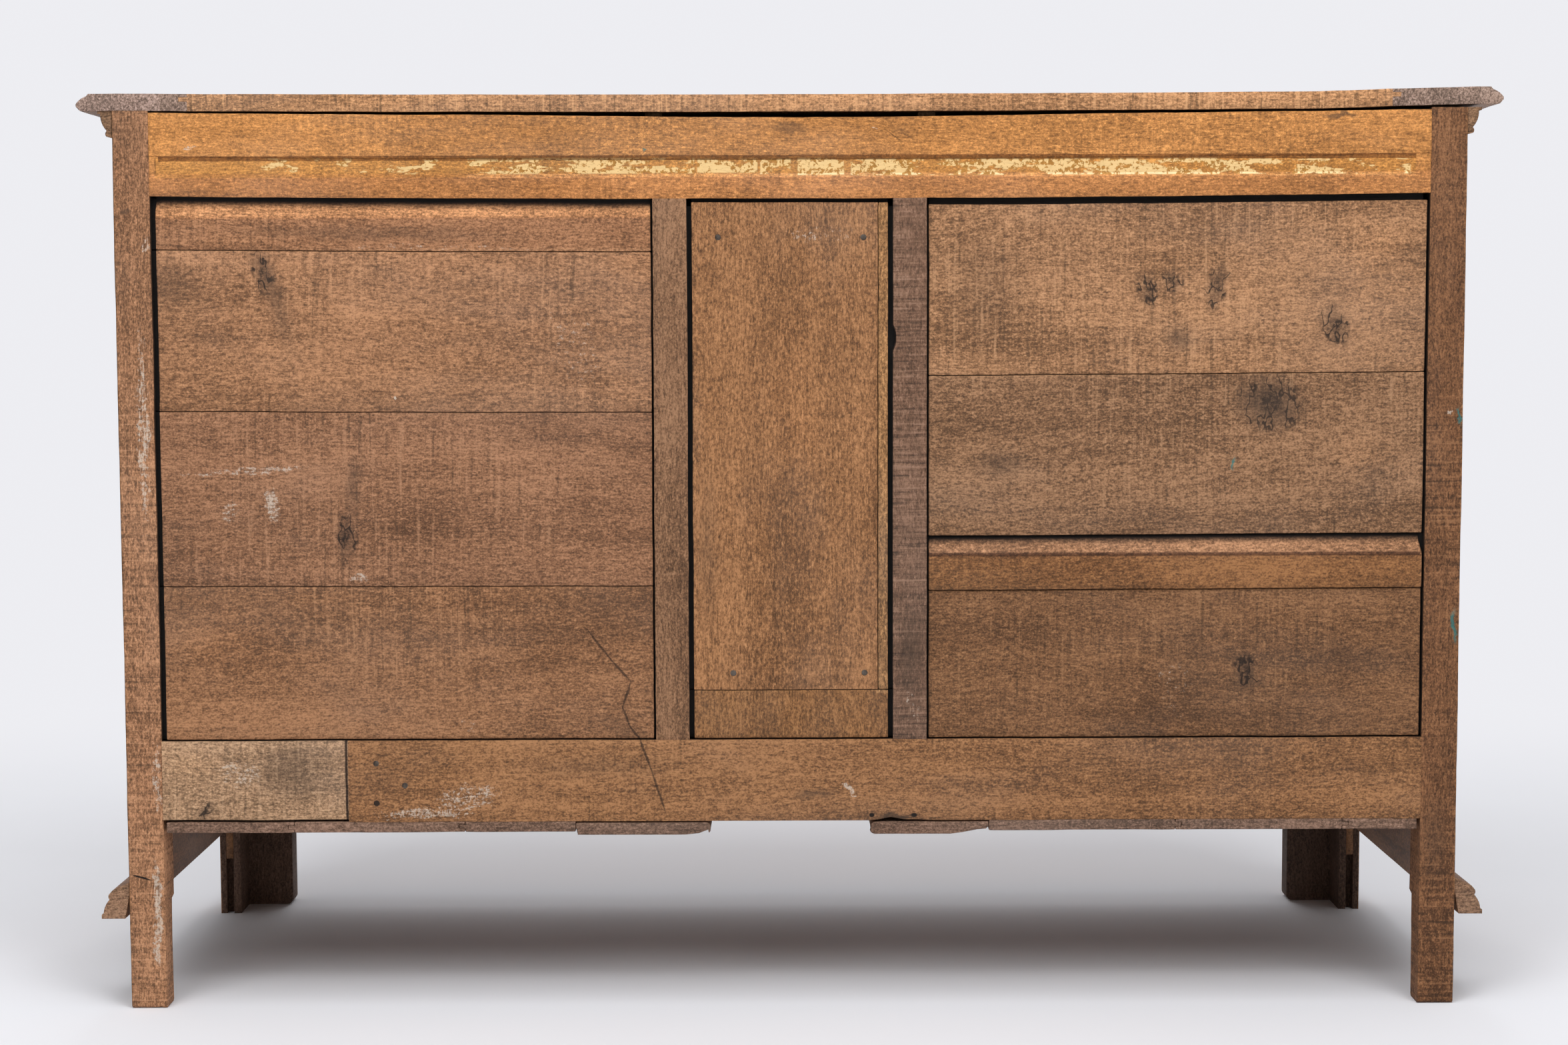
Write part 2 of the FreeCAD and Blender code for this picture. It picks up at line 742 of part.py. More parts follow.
def make_back_boards():
    """Two bays of four planks, which share the height between the rails in proportion to their widths."""
    low_edge = BACK_RAIL_TOP + s.board_edge_gap
    bay_high = BACK_TOP_RAIL_LOW - BACK_RAIL_TOP
    bays = {
        "right": (
            (BACK_MUNTINS["right"][1], POST_IN),
            (s.right_board_one, s.right_board_two, s.right_board_three, s.right_board_four),
        ),
        "left": (
            (-POST_IN, BACK_MUNTINS["left"][0]),
            (s.left_board_one, s.left_board_two, s.left_board_three, s.left_board_four),
        ),
    }
    for name, (frame, widths) in bays.items():
        all_widths = widths[0] + widths[1] + widths[2] + widths[3]
        joints = [BACK_TOP_RAIL_LOW - bay_high * widths[0] / all_widths]
        for wide in widths[1:-1]:
            joints.append(joints[-1] - bay_high * wide / all_widths)
        gaps = (s.board_end_gap_muntin, s.board_end_gap_post)
        if name == "left":
            gaps = (s.board_end_gap_post, s.board_end_gap_muntin)
        field = (frame[0] + gaps[0], frame[1] - gaps[1])
        top_edge = BACK_TOP_RAIL_LOW - s.board_edge_gap
        if name == "left":
            top_edge = BACK_TOP_RAIL_LOW - s.left_top_gap
        half = s.board_gap / 2
        edges = [
            (joints[0] + half, top_edge),
            (joints[1] + half, joints[0] - half),
            (joints[2] + half, joints[1] - half),
            (low_edge, joints[2] - half),
        ]
        for number, (low, high) in enumerate(edges, start=1):
            face = BOARD_FACE
            bevel = None
            if (name, number) == ("right", 1):
                bevel = high - s.right_bevel_high
            if (name, number) == ("left", 3):
                bevel = high - s.left_bevel_high
                face = REAR
            board = back_board(field, frame, low, high, face, number == len(edges), number == 1, bevel)
            node(f"back_board_{name}_{number}", board)


def make_centre_back():
    """Upright board, a narrow strip that makes up its width, and a short piece across the foot."""
    left, right = BACK_MUNTINS["left"][1], BACK_MUNTINS["right"][0]
    tongue = (BOARD_IN, BOARD_TONGUE_OUT)
    face = (BOARD_IN, BOARD_FACE)
    heights = (CENTRE_FOOT_TOP + s.board_gap / 2, BACK_TOP_RAIL_LOW - s.centre_top_gap)
    tip = (heights[1], BACK_TOP_RAIL_LOW + s.board_tongue_long)
    near_right = right - s.board_end_gap_post
    near_left = left + s.board_end_gap_post
    seam = near_left + s.centre_strip_wide
    split = (seam - s.board_gap / 2, seam + s.board_gap / 2)
    board = fuse(
        block((split[1], near_right), face, heights),
        block((near_right, right + s.board_tongue_long), tongue, heights),
        block((split[1], near_right), tongue, tip),
    )
    node("back_centre_board", cut(board, *board_nails))
    strip = fuse(
        block((near_left, split[0]), face, heights),
        block((left - s.board_tongue_long, near_left), tongue, heights),
        block((near_left, split[0]), tongue, tip),
    )
    foot_heights = (BACK_RAIL_TOP + s.board_edge_gap, CENTRE_FOOT_TOP - s.board_gap / 2)
    foot = fuse(
        block((near_left, near_right), face, foot_heights),
        block((left - s.board_tongue_long, near_left), tongue, foot_heights),
        block((near_right, right + s.board_tongue_long), tongue, foot_heights),
        block((near_left, near_right), tongue, (BACK_RAIL_TOP - s.board_tongue_long, foot_heights[0])),
    )
    node("back_centre_patches", strip, foot)


def make_sides():
    """Each side: three rails and two bevelled panels, held by tongues in the posts' grooves."""
    depth = (RETURN_END, POST_FRONT)
    levels = {
        "bottom": (s.side_bottom_rail_low, s.side_bottom_rail_low + s.side_bottom_rail_high),
        "middle": (s.side_middle_rail_at, s.side_middle_rail_at + s.side_middle_rail_high),
        "top": (TOP_UNDER - s.side_top_rail_high, TOP_UNDER),
    }
    bays = ((levels["bottom"][1], levels["middle"][0]), (levels["middle"][1], levels["top"][0]))
    plate_low = GROOVE_MID - s.panel_tongue_thick / 2
    plate_high = GROOVE_MID + s.panel_tongue_thick / 2
    slot_depth = (RETURN_END - s.side_tongue_long, POST_FRONT + s.side_tongue_long)
    for side, name in SIDES:
        tongue = span(side, GROOVE_IN + s.fit_gap, GROOVE_OUT - s.fit_gap)
        plate = span(side, plate_low, plate_high)
        slot = (plate[0] - s.fit_gap, plate[1] + s.fit_gap)
        slots = [
            block(slot, slot_depth, (low - s.board_groove_deep, high + s.board_groove_deep))
            for low, high in bays
        ]
        rails = []
        for level, heights in levels.items():
            foot = s.side_tongue_foot if level == "bottom" else heights[0]
            rails.append(cut(fuse(
                block(span(side, SIDE_IN, SIDE), depth, heights),
                block(tongue, (POST_FRONT, POST_FRONT + s.side_tongue_long), heights),
                block(tongue, (RETURN_END - s.side_tongue_long, RETURN_END), (foot, heights[1])),
            ), *slots))
        panels = []
        for low, high in bays:
            edge = rectangle(
                (RETURN_END - s.panel_tongue_long, POST_FRONT + s.panel_tongue_long),
                (low - s.panel_tongue_long, high + s.panel_tongue_long),
            )
            foot_across, foot_up = inset(depth, s.panel_edge_gap), inset((low, high), s.panel_edge_gap)
            foot = rectangle(foot_across, foot_up)
            crest = rectangle(inset(foot_across, s.side_panel_bevel), inset(foot_up, s.side_panel_bevel))
            faces = (plate_high, SIDE - s.panel_face_sunk)
            if side == LEFT:
                faces = (-faces[0], -faces[1])
            panels.append(raised_panel("YZ_Plane", edge, *plate, foot, faces[0], crest, faces[1]))
        node(f"side_{name}", *rails, *panels)


def make_front_posts():
    """Posts of L section: the stile faces forward, the return takes the side frame."""
    for side, name in SIDES:
        plan = [
            (STILE_IN, FACE),
            (SIDE, FACE),
            (SIDE, RETURN_END),
            (RETURN_IN, RETURN_END),
            (RETURN_IN, FRAME_IN),
            (STILE_IN, FRAME_IN),
        ]
        stock = bar("XY_Plane", sided(side, plan), ZERO, TOP_UNDER)
        groove = block(
            span(side, GROOVE_IN, GROOVE_OUT),
            (RETURN_END - s.groove_deep, RETURN_END + s.overrun),
            (-s.overrun, TOP_UNDER + s.overrun),
        )
        corner = [
            (SIDE - s.corner_chamfer - s.overrun, FACE - s.overrun),
            (SIDE + s.overrun, FACE - s.overrun),
            (SIDE + s.overrun, FACE + s.corner_chamfer + s.overrun),
        ]
        chamfer_top = TOP_UNDER - s.corner_chamfer_stop
        chamfer = bar("XY_Plane", sided(side, corner), s.corner_chamfer_low, chamfer_top)
        toe = [
            (STILE_IN, s.foot_round, s.foot_round),
            (STILE_IN + s.foot_round, ZERO),
            (STILE_IN + s.foot_round, -s.overrun),
            (STILE_IN - s.overrun, -s.overrun),
            (STILE_IN - s.overrun, s.foot_round),
        ]
        rounding = bar("XZ_Plane", sided(side, toe), FACE - s.overrun, FRAME_IN + s.overrun)
        mortises = [block(*grown(front_tenon(side, heights), s.fit_gap)) for heights in FRONT_TENON_Z]
        leaves = [block(*grown(post_leaf(side, at), s.fit_gap)) for at in HINGE_PLACES]
        node(f"front_post_{name}", cut(stock, groove, chamfer, rounding, *mortises, *leaves))


FRONT_TENON_Y = (
    FACE + (s.front_frame_thick - s.front_tenon_thick) / 2,
    FACE + (s.front_frame_thick + s.front_tenon_thick) / 2,
)
FRONT_TENON_Z = (
    inset((s.front_rail_low, s.floor_top), s.tenon_shoulder),
    inset((OPENING_TOP, TOP_UNDER), s.tenon_shoulder),
)
HINGE_PLACES = (s.floor_top + s.hinge_from_ends, OPENING_TOP - s.hinge_from_ends)


def front_tenon(side, heights):
    return span(side, STILE_IN, STILE_IN + s.front_tenon_long), FRONT_TENON_Y, heights


def post_leaf(side, at):
    return (
        span(side, STILE_IN, STILE_IN + s.hinge_leaf_thick),
        (HINGE_Y, FACE + s.hinge_leaf_back),
        (at - s.hinge_knuckle_high + s.hinge_leaf_inset, at - s.hinge_leaf_inset),
    )


def door_leaf(side, at):
    door_edge = STILE_IN - s.door_hinge_gap
    return (
        span(side, door_edge - s.hinge_leaf_thick, door_edge),
        (HINGE_Y, FACE + s.hinge_leaf_back),
        (at + s.hinge_leaf_inset, at + s.hinge_knuckle_high - s.hinge_leaf_inset),
    )


MUNTIN_TENON_Y = (
    FACE + (s.muntin_thick - s.tenon_thick) / 2,
    FACE + (s.muntin_thick + s.tenon_thick) / 2,
)


def front_muntin_tenons(side):
    across = inset(span(side, s.muntin_in, MUNTIN_OUT), s.muntin_tenon_shoulder)
    upper = (across, MUNTIN_TENON_Y, (OPENING_TOP, OPENING_TOP + s.muntin_tenon_long))
    lower = (across, MUNTIN_TENON_Y, (s.floor_top - s.muntin_tenon_long, s.floor_top))
    return upper, lower


def divider_low(number):
    """Lower face of one of the rails between the drawers, counted from 1 at the bottom."""
    return s.floor_top + OPENING_HIGH * number + s.divider_thick * (number - 1)


def drawer_low(number):
    """Foot of a drawer's opening, counted from 0 at the bottom."""
    return s.floor_top + (OPENING_HIGH + s.divider_thick) * number


def make_front_frame():
    for heights, tenon_z, name in (
        ((OPENING_TOP, TOP_UNDER), FRONT_TENON_Z[1], "front_top_rail"),
        ((s.front_rail_low, s.floor_top), FRONT_TENON_Z[0], "front_bottom_rail"),
    ):
        rail = fuse(
            block((-STILE_IN, STILE_IN), (FACE, FRAME_IN), heights),
            *[block(*front_tenon(side, tenon_z)) for side in (LEFT, RIGHT)],
        )
        which = 0 if name == "front_top_rail" else 1
        mortises = [block(*grown(front_muntin_tenons(side)[which], s.fit_gap)) for side in (LEFT, RIGHT)]
        node(name, cut(rail, *mortises))
    muntins = []
    for side in (LEFT, RIGHT):
        stock = fuse(
            block(span(side, s.muntin_in, MUNTIN_OUT), (FACE, MUNTIN_BACK), (s.floor_top, OPENING_TOP)),
            *[block(*space) for space in front_muntin_tenons(side)],
        )
        housings = [
            block(
                span(side, s.muntin_in - s.overrun, s.muntin_in + s.divider_housing),
                (FACE - s.overrun, MUNTIN_BACK + s.overrun),
                (divider_low(number), divider_low(number) + s.divider_thick),
            )
            for number in range(1, DRAWERS)
        ]
        muntins.append(cut(stock, *housings))
    node("front_muntins", *muntins)
    dividers = []
    for number in range(1, DRAWERS):
        heights = (divider_low(number), divider_low(number) + s.divider_thick)
        housed = s.muntin_in + s.divider_housing
        dividers.append(fuse(
            block((-housed, housed), (FACE, MUNTIN_BACK), heights),
            block((-s.partition_at, s.partition_at), (MUNTIN_BACK, FACE + s.divider_deep), heights),
        ))
    node("drawer_dividers", *dividers)


def bolt_space(side):
    """The lock bolt, drawn back into its case."""
    end = PARTITION_OUT + s.lock_case_from_stop
    low = LOCK_AT + s.bolt_up
    return (
        span(side, end, end + s.bolt_long),
        (DOOR_BACK + s.bolt_back, DOOR_BACK + s.bolt_back + s.bolt_thick),
        (low, low + s.bolt_high),
    )


def make_partitions():
    """Two upright boards between the drawers and the cupboards. Their front edges stop the doors."""
    outline = [
        (FRAME_IN, RUNNER_BOARD_TOP),
        (FRAME_IN, s.floor_top),
        (MUNTIN_BACK, s.floor_top),
        (MUNTIN_BACK, OPENING_TOP),
        (FRAME_IN, OPENING_TOP),
        (FRAME_IN, TOP_UNDER),
        (BACK_IN, TOP_UNDER),
        (BACK_IN, RUNNER_BOARD_TOP),
    ]
    partitions = []
    for side in (LEFT, RIGHT):
        board = bar("YZ_Plane", outline, *span(side, s.partition_at, PARTITION_OUT))
        across, along, up = grown(bolt_space(side), s.bolt_keep_fit)
        mouth = span(side, PARTITION_OUT - s.bolt_throw, PARTITION_OUT + s.overrun)
        keep = block(mouth, (along[0], along[1]), up)
        partitions.append(cut(board, keep))
    node("partitions", *partitions)


def make_bearers():
    """Runners and guides of the drawers, cleats of the shelves, ledgers of the floor boards."""
    pieces = []
    for side in (LEFT, RIGHT):
        for number in range(DRAWERS):
            top = drawer_low(number)
            low = top - s.runner_thick if number else RUNNER_BOARD_TOP
            start = FACE + s.divider_deep if number else FRAME_IN
            outline = [
                (s.runner_in, low),
                (s.partition_at, low),
                (s.partition_at, top + s.guide_high),
                (s.guide_in, top + s.guide_high),
                (s.guide_in, top),
                (s.runner_in, top),
            ]
            pieces.append(bar("XZ_Plane", sided(side, outline), start, BACK_IN))
        kicker = (OPENING_TOP, OPENING_TOP + s.runner_thick)
        pieces.append(block(span(side, s.runner_in, s.partition_at), (FRAME_IN, BACK_IN), kicker))
        cleat = (s.shelf_low - s.cleat_high, s.shelf_low)
        pieces.append(block(
            span(side, PARTITION_OUT, PARTITION_OUT + s.cleat_deep),
            (FACE + s.shelf_front_back, BACK_IN),
            cleat,
        ))
        pieces.append(block(span(side, SIDE_IN - s.cleat_deep, SIDE_IN), (RETURN_END, POST_FRONT), cleat))
        runner_in = s.right_runner_in if side == RIGHT else s.left_runner_in
        seam = floor_seams(side)[0]
        ledge = (FRAME_IN, FRAME_IN + s.cleat_deep)
        pieces.append(block(
            span(side, runner_in, seam),
            ledge,
            (RUNNER_BOARD_UNDER - s.cleat_high, RUNNER_BOARD_UNDER),
        ))
        pieces.append(block(
            span(side, seam + s.floor_gap, STILE_IN),
            ledge,
            (FLOOR_UNDER - s.cleat_high, FLOOR_UNDER),
        ))
    node("bearers", *pieces)


# Joints of the floor boards, as shares of the way from the middle to the rear posts.
FLOOR_SEAM_SHARES = {LEFT: (0.313, 0.61, 0.876), RIGHT: (0.345, 0.521, 0.792)}


def floor_seams(side):
    return [POST_IN * share for share in FLOOR_SEAM_SHARES[side]]


def make_floor():
    """Boards that run from front to back, tongued together, on both sides of the drawers."""
    boards = []
    tongue = (
        s.floor_top - s.floor_thick / 2 - s.floor_tongue_thick / 2,
        s.floor_top - s.floor_thick / 2 + s.floor_tongue_thick / 2,
    )
    slot = (tongue[0] - s.fit_gap, tongue[1] + s.fit_gap)
    for side in (LEFT, RIGHT):
        seams = floor_seams(side)
        last = POST_IN - s.floor_side_gap
        edges = list(zip(seams, seams[1:] + [last]))
        runner_in = s.right_runner_in if side == RIGHT else s.left_runner_in
        rounding = s.runner_board_round
        outline = [
            (runner_in + rounding, RUNNER_BOARD_UNDER),
            (seams[0] - s.floor_gap, RUNNER_BOARD_UNDER),
            (seams[0] - s.floor_gap, RUNNER_BOARD_TOP),
            (runner_in + rounding, RUNNER_BOARD_TOP, rounding),
            (runner_in, RUNNER_BOARD_TOP - rounding),
            (runner_in, RUNNER_BOARD_UNDER + rounding, rounding),
        ]
        boards.append(bar("XZ_Plane", sided(side, outline), FRAME_IN, REAR))
        for number, (near, far) in enumerate(edges):
            outline = [(near, FLOOR_UNDER), (far - s.floor_gap, FLOOR_UNDER)]
            if number < len(edges) - 1:
                outline += [
                    (far - s.floor_gap, tongue[0]),
                    (far + s.floor_tongue_long, tongue[0]),
                    (far + s.floor_tongue_long, tongue[1]),
                    (far - s.floor_gap, tongue[1]),
                ]
            outline += [(far - s.floor_gap, s.floor_top), (near, s.floor_top)]
            if number:
                deep = near + s.floor_tongue_long + s.floor_gap
                outline += [(near, slot[1]), (deep, slot[1]), (deep, slot[0]), (near, slot[0])]
            board = bar("XZ_Plane", sided(side, outline), FRAME_IN, REAR)
            if number == len(edges) - 1:
                wing = block(
                    span(side, far - s.floor_gap, SIDE_IN),
                    (RETURN_END + s.shelf_gap, POST_FRONT - s.shelf_gap),
                    (FLOOR_UNDER, s.floor_top),
                )
                board = fuse(board, wing)
            boards.append(board)
    node("floor_boards", *boards)


def make_shelves():
    shelves = []
    heights = (s.shelf_low, s.shelf_low + s.shelf_thick)
    for side in (LEFT, RIGHT):
        shelves.append(fuse(
            block(
                span(side, PARTITION_OUT + s.shelf_gap, POST_IN - s.shelf_gap),
                (FACE + s.shelf_front_back, BACK_IN - s.shelf_gap),
                heights,
            ),
            block(
                span(side, POST_IN - s.shelf_gap, SIDE_IN - s.shelf_gap),
                (RETURN_END + s.shelf_gap, POST_FRONT - s.shelf_gap),
                heights,
            ),
        ))
    node("shelves", *shelves)


TOP_FRONT = -REAR
TOP_SIDE = s.top_wide / 2
TOP_SEAM = TOP_SIDE - s.top_end_wide
TOP_BOARD_SHARES = (0, 0.236, 0.503, 0.762, 1)
TOP_TONGUE = (
    s.total_high - s.top_tongue_down - s.top_tongue_thick,
    s.total_high - s.top_tongue_down,
)


# Radius of the moulded edge's slope, as a share of its drop.
NOSE_BEND_SHARE = 2


def nose(edge, inner, sign):
    """Section of a moulded edge: a small step, then a slope that swells down to the nose."""
    out = edge if sign > 0 else -edge
    step = (lambda size: out - size) if sign > 0 else (lambda size: out + size)
    bend = s.nose_drop * NOSE_BEND_SHARE
    return [
        (inner, TOP_UNDER),
        (step(s.nose_under), TOP_UNDER),
        (out, TOP_UNDER + s.nose_rise),
        (out, s.total_high - s.nose_drop, bend if sign > 0 else -bend),
        (step(s.nose_step_back), s.total_high - s.nose_step_down),
        (step(s.nose_flat_back), s.total_high),
        (inner, s.total_high),
    ]


def make_top():
    """Boards along the sideboard between two boards across its ends, the front and ends moulded."""
    front_edge = bar("YZ_Plane", nose(REAR, REAR, -1), -TOP_SIDE - s.overrun, TOP_SIDE + s.overrun)
    slot = grown((TOP_TONGUE,), s.fit_gap)[0]
    ends = []
    for side in (LEFT, RIGHT):
        outline = nose(TOP_SIDE, TOP_SEAM, 1)
        board = bar("XZ_Plane", sided(side, outline), TOP_FRONT, REAR)
        groove = block(
            span(side, TOP_SEAM - s.overrun, TOP_SEAM + s.top_tongue_long + s.fit_gap),
            (TOP_FRONT - s.overrun, REAR + s.overrun),
            slot,
        )
        ends.append(cut(common(board, front_edge), groove))
    node("top_end_boards", *ends)
    boards = []
    for low_share, high_share in zip(TOP_BOARD_SHARES, TOP_BOARD_SHARES[1:]):
        low = TOP_FRONT + s.top_deep * low_share
        high = TOP_FRONT + s.top_deep * high_share
        if high_share < 1:
            high = high - s.top_board_gap
        board = fuse(
            block((-TOP_SEAM, TOP_SEAM), (low, high), (TOP_UNDER, s.total_high)),
            *[
                block(span(side, TOP_SEAM, TOP_SEAM + s.top_tongue_long), (low, high), TOP_TONGUE)
                for side in (LEFT, RIGHT)
            ],
        )
        if low_share == 0:
            board = common(board, front_edge)
        boards.append(board)
    node("top_boards", *boards)


def moulding(outline, low, high, out):
    """Three lengths round the front and sides, mitred at the front corners.

    The outline holds (distance out from the case, height) pairs.
    """
    reach = out + s.overrun
    tools = {}
    for side in (LEFT, RIGHT):
        for name, corner in (
            ("front", (SIDE + reach, FACE + s.overrun)),
            ("side", (SIDE - s.overrun, FACE - reach)),
        ):
            mitre = [(SIDE, FACE), (SIDE + reach, FACE - reach), corner]
            tools[side, name] = bar("XY_Plane", sided(side, mitre), low - s.overrun, high + s.overrun)
    forward = [(FACE - point[0], point[1]) + tuple(-turn for turn in point[2:]) for point in outline]
    front = bar("YZ_Plane", forward, -SIDE - out, SIDE + out)
    pieces = [cut(front, tools[LEFT, "front"], tools[RIGHT, "front"])]
    for side in (LEFT, RIGHT):
        outward = sided(side, [(SIDE + point[0],) + tuple(point[1:]) for point in outline])
        run = bar("XZ_Plane", outward, FACE - out, REAR - s.moulding_rear_gap)
        pieces.append(cut(run, tools[side, "side"]))
    return pieces


# Sections of the mouldings: shares of their reach and of their height, the third value bends the
# way to the next point by a radius that is a share of the height.
CORNICE_SHARES = [
    (0, 0), (0.41, 0.056, 0.134), (0.38, 0.262, 0.84), (0.8, 0.888), (1, 0.888), (1, 1), (0, 1),
]
BASE_SHARES = [
    (1, 0), (1, 0.11), (0.93, 0.157, 0.64), (0.713, 0.528, 0.118), (0.713, 0.685), (0.61, 0.775), (0, 1),
]


def section(shares, out, low, high):
    tall = high - low
    return [
        (out * share[0], low + tall * share[1]) + tuple(tall * bend_share for bend_share in share[2:])
        for share in shares
    ]


def make_mouldings():
    """Both mouldings. The lower one is glued along its upper edge and stands clear of the case below."""
    low = TOP_UNDER - s.cornice_high
    cornice = section(CORNICE_SHARES, s.cornice_out, low, TOP_UNDER)
    node("cornice_moulding", *moulding(cornice, low, TOP_UNDER, s.cornice_out))
    base = [
        (ZERO, s.base_high - s.base_seat_high),
        (s.base_clear, s.base_low),
        *section(BASE_SHARES, s.base_out, s.base_low, s.base_high),
    ]
    node("base_moulding", *moulding(base, s.base_low, s.base_high, s.base_out))


def arched(side, across, low, high, rise, gap):
    """A door panel's outline: straight sides and foot, a segment of a circle above."""
    half = (across[1] - across[0]) / 2
    middle = (across[0] + across[1]) / 2
    radius = (half * half + rise * rise) / (rise * 2)
    centre = high + rise - radius
    bent = radius - gap
    narrow = half - gap
    shoulder = centre + (bent * bent - narrow * narrow).root()
    return sided(side, [
        (middle - narrow, low + gap),
        (middle + narrow, low + gap),
        (middle + narrow, shoulder, bent),
        (middle - narrow, shoulder),
    ])


def make_door(side, name):
    """A frame of two stiles and two rails round one bevelled panel with an arched head."""
    lock_edge = MUNTIN_OUT + s.door_edge_gap
    hinge_edge = STILE_IN - s.door_hinge_gap
    low = s.floor_top + s.door_edge_gap
    high = OPENING_TOP - s.door_edge_gap
    inner = inset((lock_edge, hinge_edge), s.door_stile_wide)
    thick = (FACE, DOOR_BACK)
    slot = (FACE + s.door_groove_back, FACE + s.door_groove_back + s.board_tongue_thick)
    foot = low + s.door_bottom_rail_high
    head = high - s.door_top_rail_high
    rise = s.door_arch_rise

    def outline(gap):
        return arched(side, inner, foot, head, rise, gap)

    groove = bar("XZ_Plane", outline(-s.board_groove_deep), *grown((slot,), s.fit_gap)[0])
    tenons = []
    for near, far in ((inner[0] - s.door_tenon_long, inner[0]), (inner[1], inner[1] + s.door_tenon_long)):
        tenons.append((span(side, near, far), slot, inset((low, foot), s.tenon_shoulder)))
        tenons.append((span(side, near, far), slot, inset((head, high), s.tenon_shoulder)))
    mortises = [block(*grown(space, s.fit_gap)) for space in tenons]
    leaves = [block(*grown(door_leaf(side, at), s.fit_gap)) for at in HINGE_PLACES]
    key_x = LOCK_KEY_X if side == RIGHT else -LOCK_KEY_X
    keyhole = rod("y", s.key_hole_radius, (key_x, LOCK_AT), FACE - s.overrun, DOOR_BACK + s.overrun)
    key_slot = block(
        (key_x - s.key_bit_slot / 2, key_x + s.key_bit_slot / 2),
        (FACE - s.overrun, DOOR_BACK + s.overrun),
        (LOCK_AT - s.key_bit_down - s.fit_gap, LOCK_AT),
    )
    hinge_stile = cut(
        block(span(side, inner[1], hinge_edge), thick, (low, high)),
        groove, *mortises, *leaves,
    )
    lock_stile = cut(
        block(span(side, lock_edge, inner[0]), thick, (low, high)),
        groove, *mortises, keyhole, key_slot,
    )
    bottom_rail = cut(fuse(
        block(span(side, *inner), thick, (low, foot)),
        *[block(*space) for space in (tenons[0], tenons[2])],
    ), groove)
    half = (inner[1] - inner[0]) / 2
    radius = (half * half + rise * rise) / (rise * 2)
    shape = [
        (inner[0], high),
        (inner[0], head, -radius),
        (inner[1], head),
        (inner[1], high),
    ]
    top_rail = cut(fuse(
        bar("XZ_Plane", sided(side, shape), *thick),
        *[block(*space) for space in (tenons[1], tenons[3])],
    ), groove)
    node(f"door_{name}_frame", hinge_stile, lock_stile, bottom_rail, top_rail)
    panel = raised_panel(
        "XZ_Plane",
        outline(-s.panel_tongue_long), *slot,
        outline(s.panel_edge_gap), slot[0],
        outline(s.panel_edge_gap + s.door_panel_bevel), FACE + s.door_panel_sunk,
    )
    node(f"door_{name}_panel", panel)


def hinge_bore(side, at):
    x = HINGE_X if side == RIGHT else -HINGE_X
    reach = s.hinge_pin_reach + s.hinge_fit
    return rod("z", s.hinge_pin_radius + s.hinge_fit, (x, HINGE_Y), at - reach, at + reach)


def make_hinges():
    """Pin hinges: the lower knuckle is on the post and carries the pin, the upper one turns on it."""
    fixed = []
    for side, name in SIDES:
        x = HINGE_X if side == RIGHT else -HINGE_X
        moving = []
        for at in HINGE_PLACES:
            half_gap = s.hinge_face_gap / 2
            lower = (at - s.hinge_knuckle_high, at - half_gap)
            upper = (at + half_gap, at + s.hinge_knuckle_high)
            tip_low = lower[0] - s.hinge_finial_neck
            tip_high = upper[1] + s.hinge_finial_neck
            fixed.append(cut(fuse(
                rod("z", s.hinge_radius, (x, HINGE_Y), *lower),
                rod("z", s.hinge_finial_radius / 2, (x, HINGE_Y), tip_low, lower[0]),
                ball(s.hinge_finial_radius, x, HINGE_Y, tip_low),
                block(*post_leaf(side, at)),
            ), hinge_bore(side, at)))
            fixed.append(rod(
                "z", s.hinge_pin_radius, (x, HINGE_Y), at - s.hinge_pin_reach, at + s.hinge_pin_reach,
            ))
            moving.append(cut(fuse(
                rod("z", s.hinge_radius, (x, HINGE_Y), *upper),
                rod("z", s.hinge_finial_radius / 2, (x, HINGE_Y), upper[1], tip_high),
                ball(s.hinge_finial_radius, x, HINGE_Y, tip_high),
                block(*door_leaf(side, at)),
            ), hinge_bore(side, at)))
        node(f"door_{name}_ironwork", *moving, lock_case(side))
    node("hinge_plates_and_pins", *fixed)


def lock_case(side):
    """An iron box on the back of the door, open towards the wood, holding bolt and key end."""
    edge = PARTITION_OUT + s.lock_case_from_stop
    key_x = LOCK_KEY_X if side == RIGHT else -LOCK_KEY_X
    outer = (
        (edge, edge + s.lock_case_wide),
        (DOOR_BACK, DOOR_BACK + s.lock_case_deep),
        (LOCK_AT - s.lock_case_low, LOCK_AT + s.lock_case_high),
    )
    wall = s.lock_case_wall
    hollow = block(
        span(side, *inset(outer[0], wall)),
        (DOOR_BACK - s.overrun, DOOR_BACK + s.lock_case_deep - wall),
        inset(outer[2], wall),
    )
    bolt_across, bolt_along, bolt_up = grown(bolt_space(RIGHT), s.bolt_fit)
    mouth = block(span(side, edge - s.overrun, edge + s.overrun), bolt_along, bolt_up)
    seat = rod(
        "y", s.key_radius + s.key_fit, (key_x, LOCK_AT),
        DOOR_BACK, DOOR_BACK + s.lock_case_deep + s.overrun,
    )
    body = block(span(side, *outer[0]), outer[1], outer[2])
    return cut(body, hollow, mouth, seat)


ESCUTCHEON_SHARES = [
    (0, -1, 0.55), (0.62, -0.62, -0.5), (0.62, -0.3, 0.75), (0.62, 0.42, -0.5), (0.5, 0.72, 0.5),
    (0, 1, 0.5), (-0.5, 0.72, -0.5), (-0.62, 0.42, 0.75), (-0.62, -0.3, -0.5), (-0.62, -0.62, 0.55),
]


def shaped_plate(shares, wide, high, x, z, back, front):
    """A thin plate whose outline is written as shares of half its width and half its height."""
    half_wide, half_high = wide / 2, high / 2
    outline = [
        (x + half_wide * across, z + half_high * up, half_high * bend)
        for across, up, bend in shares
    ]
    return bar("XZ_Plane", outline, front, back)


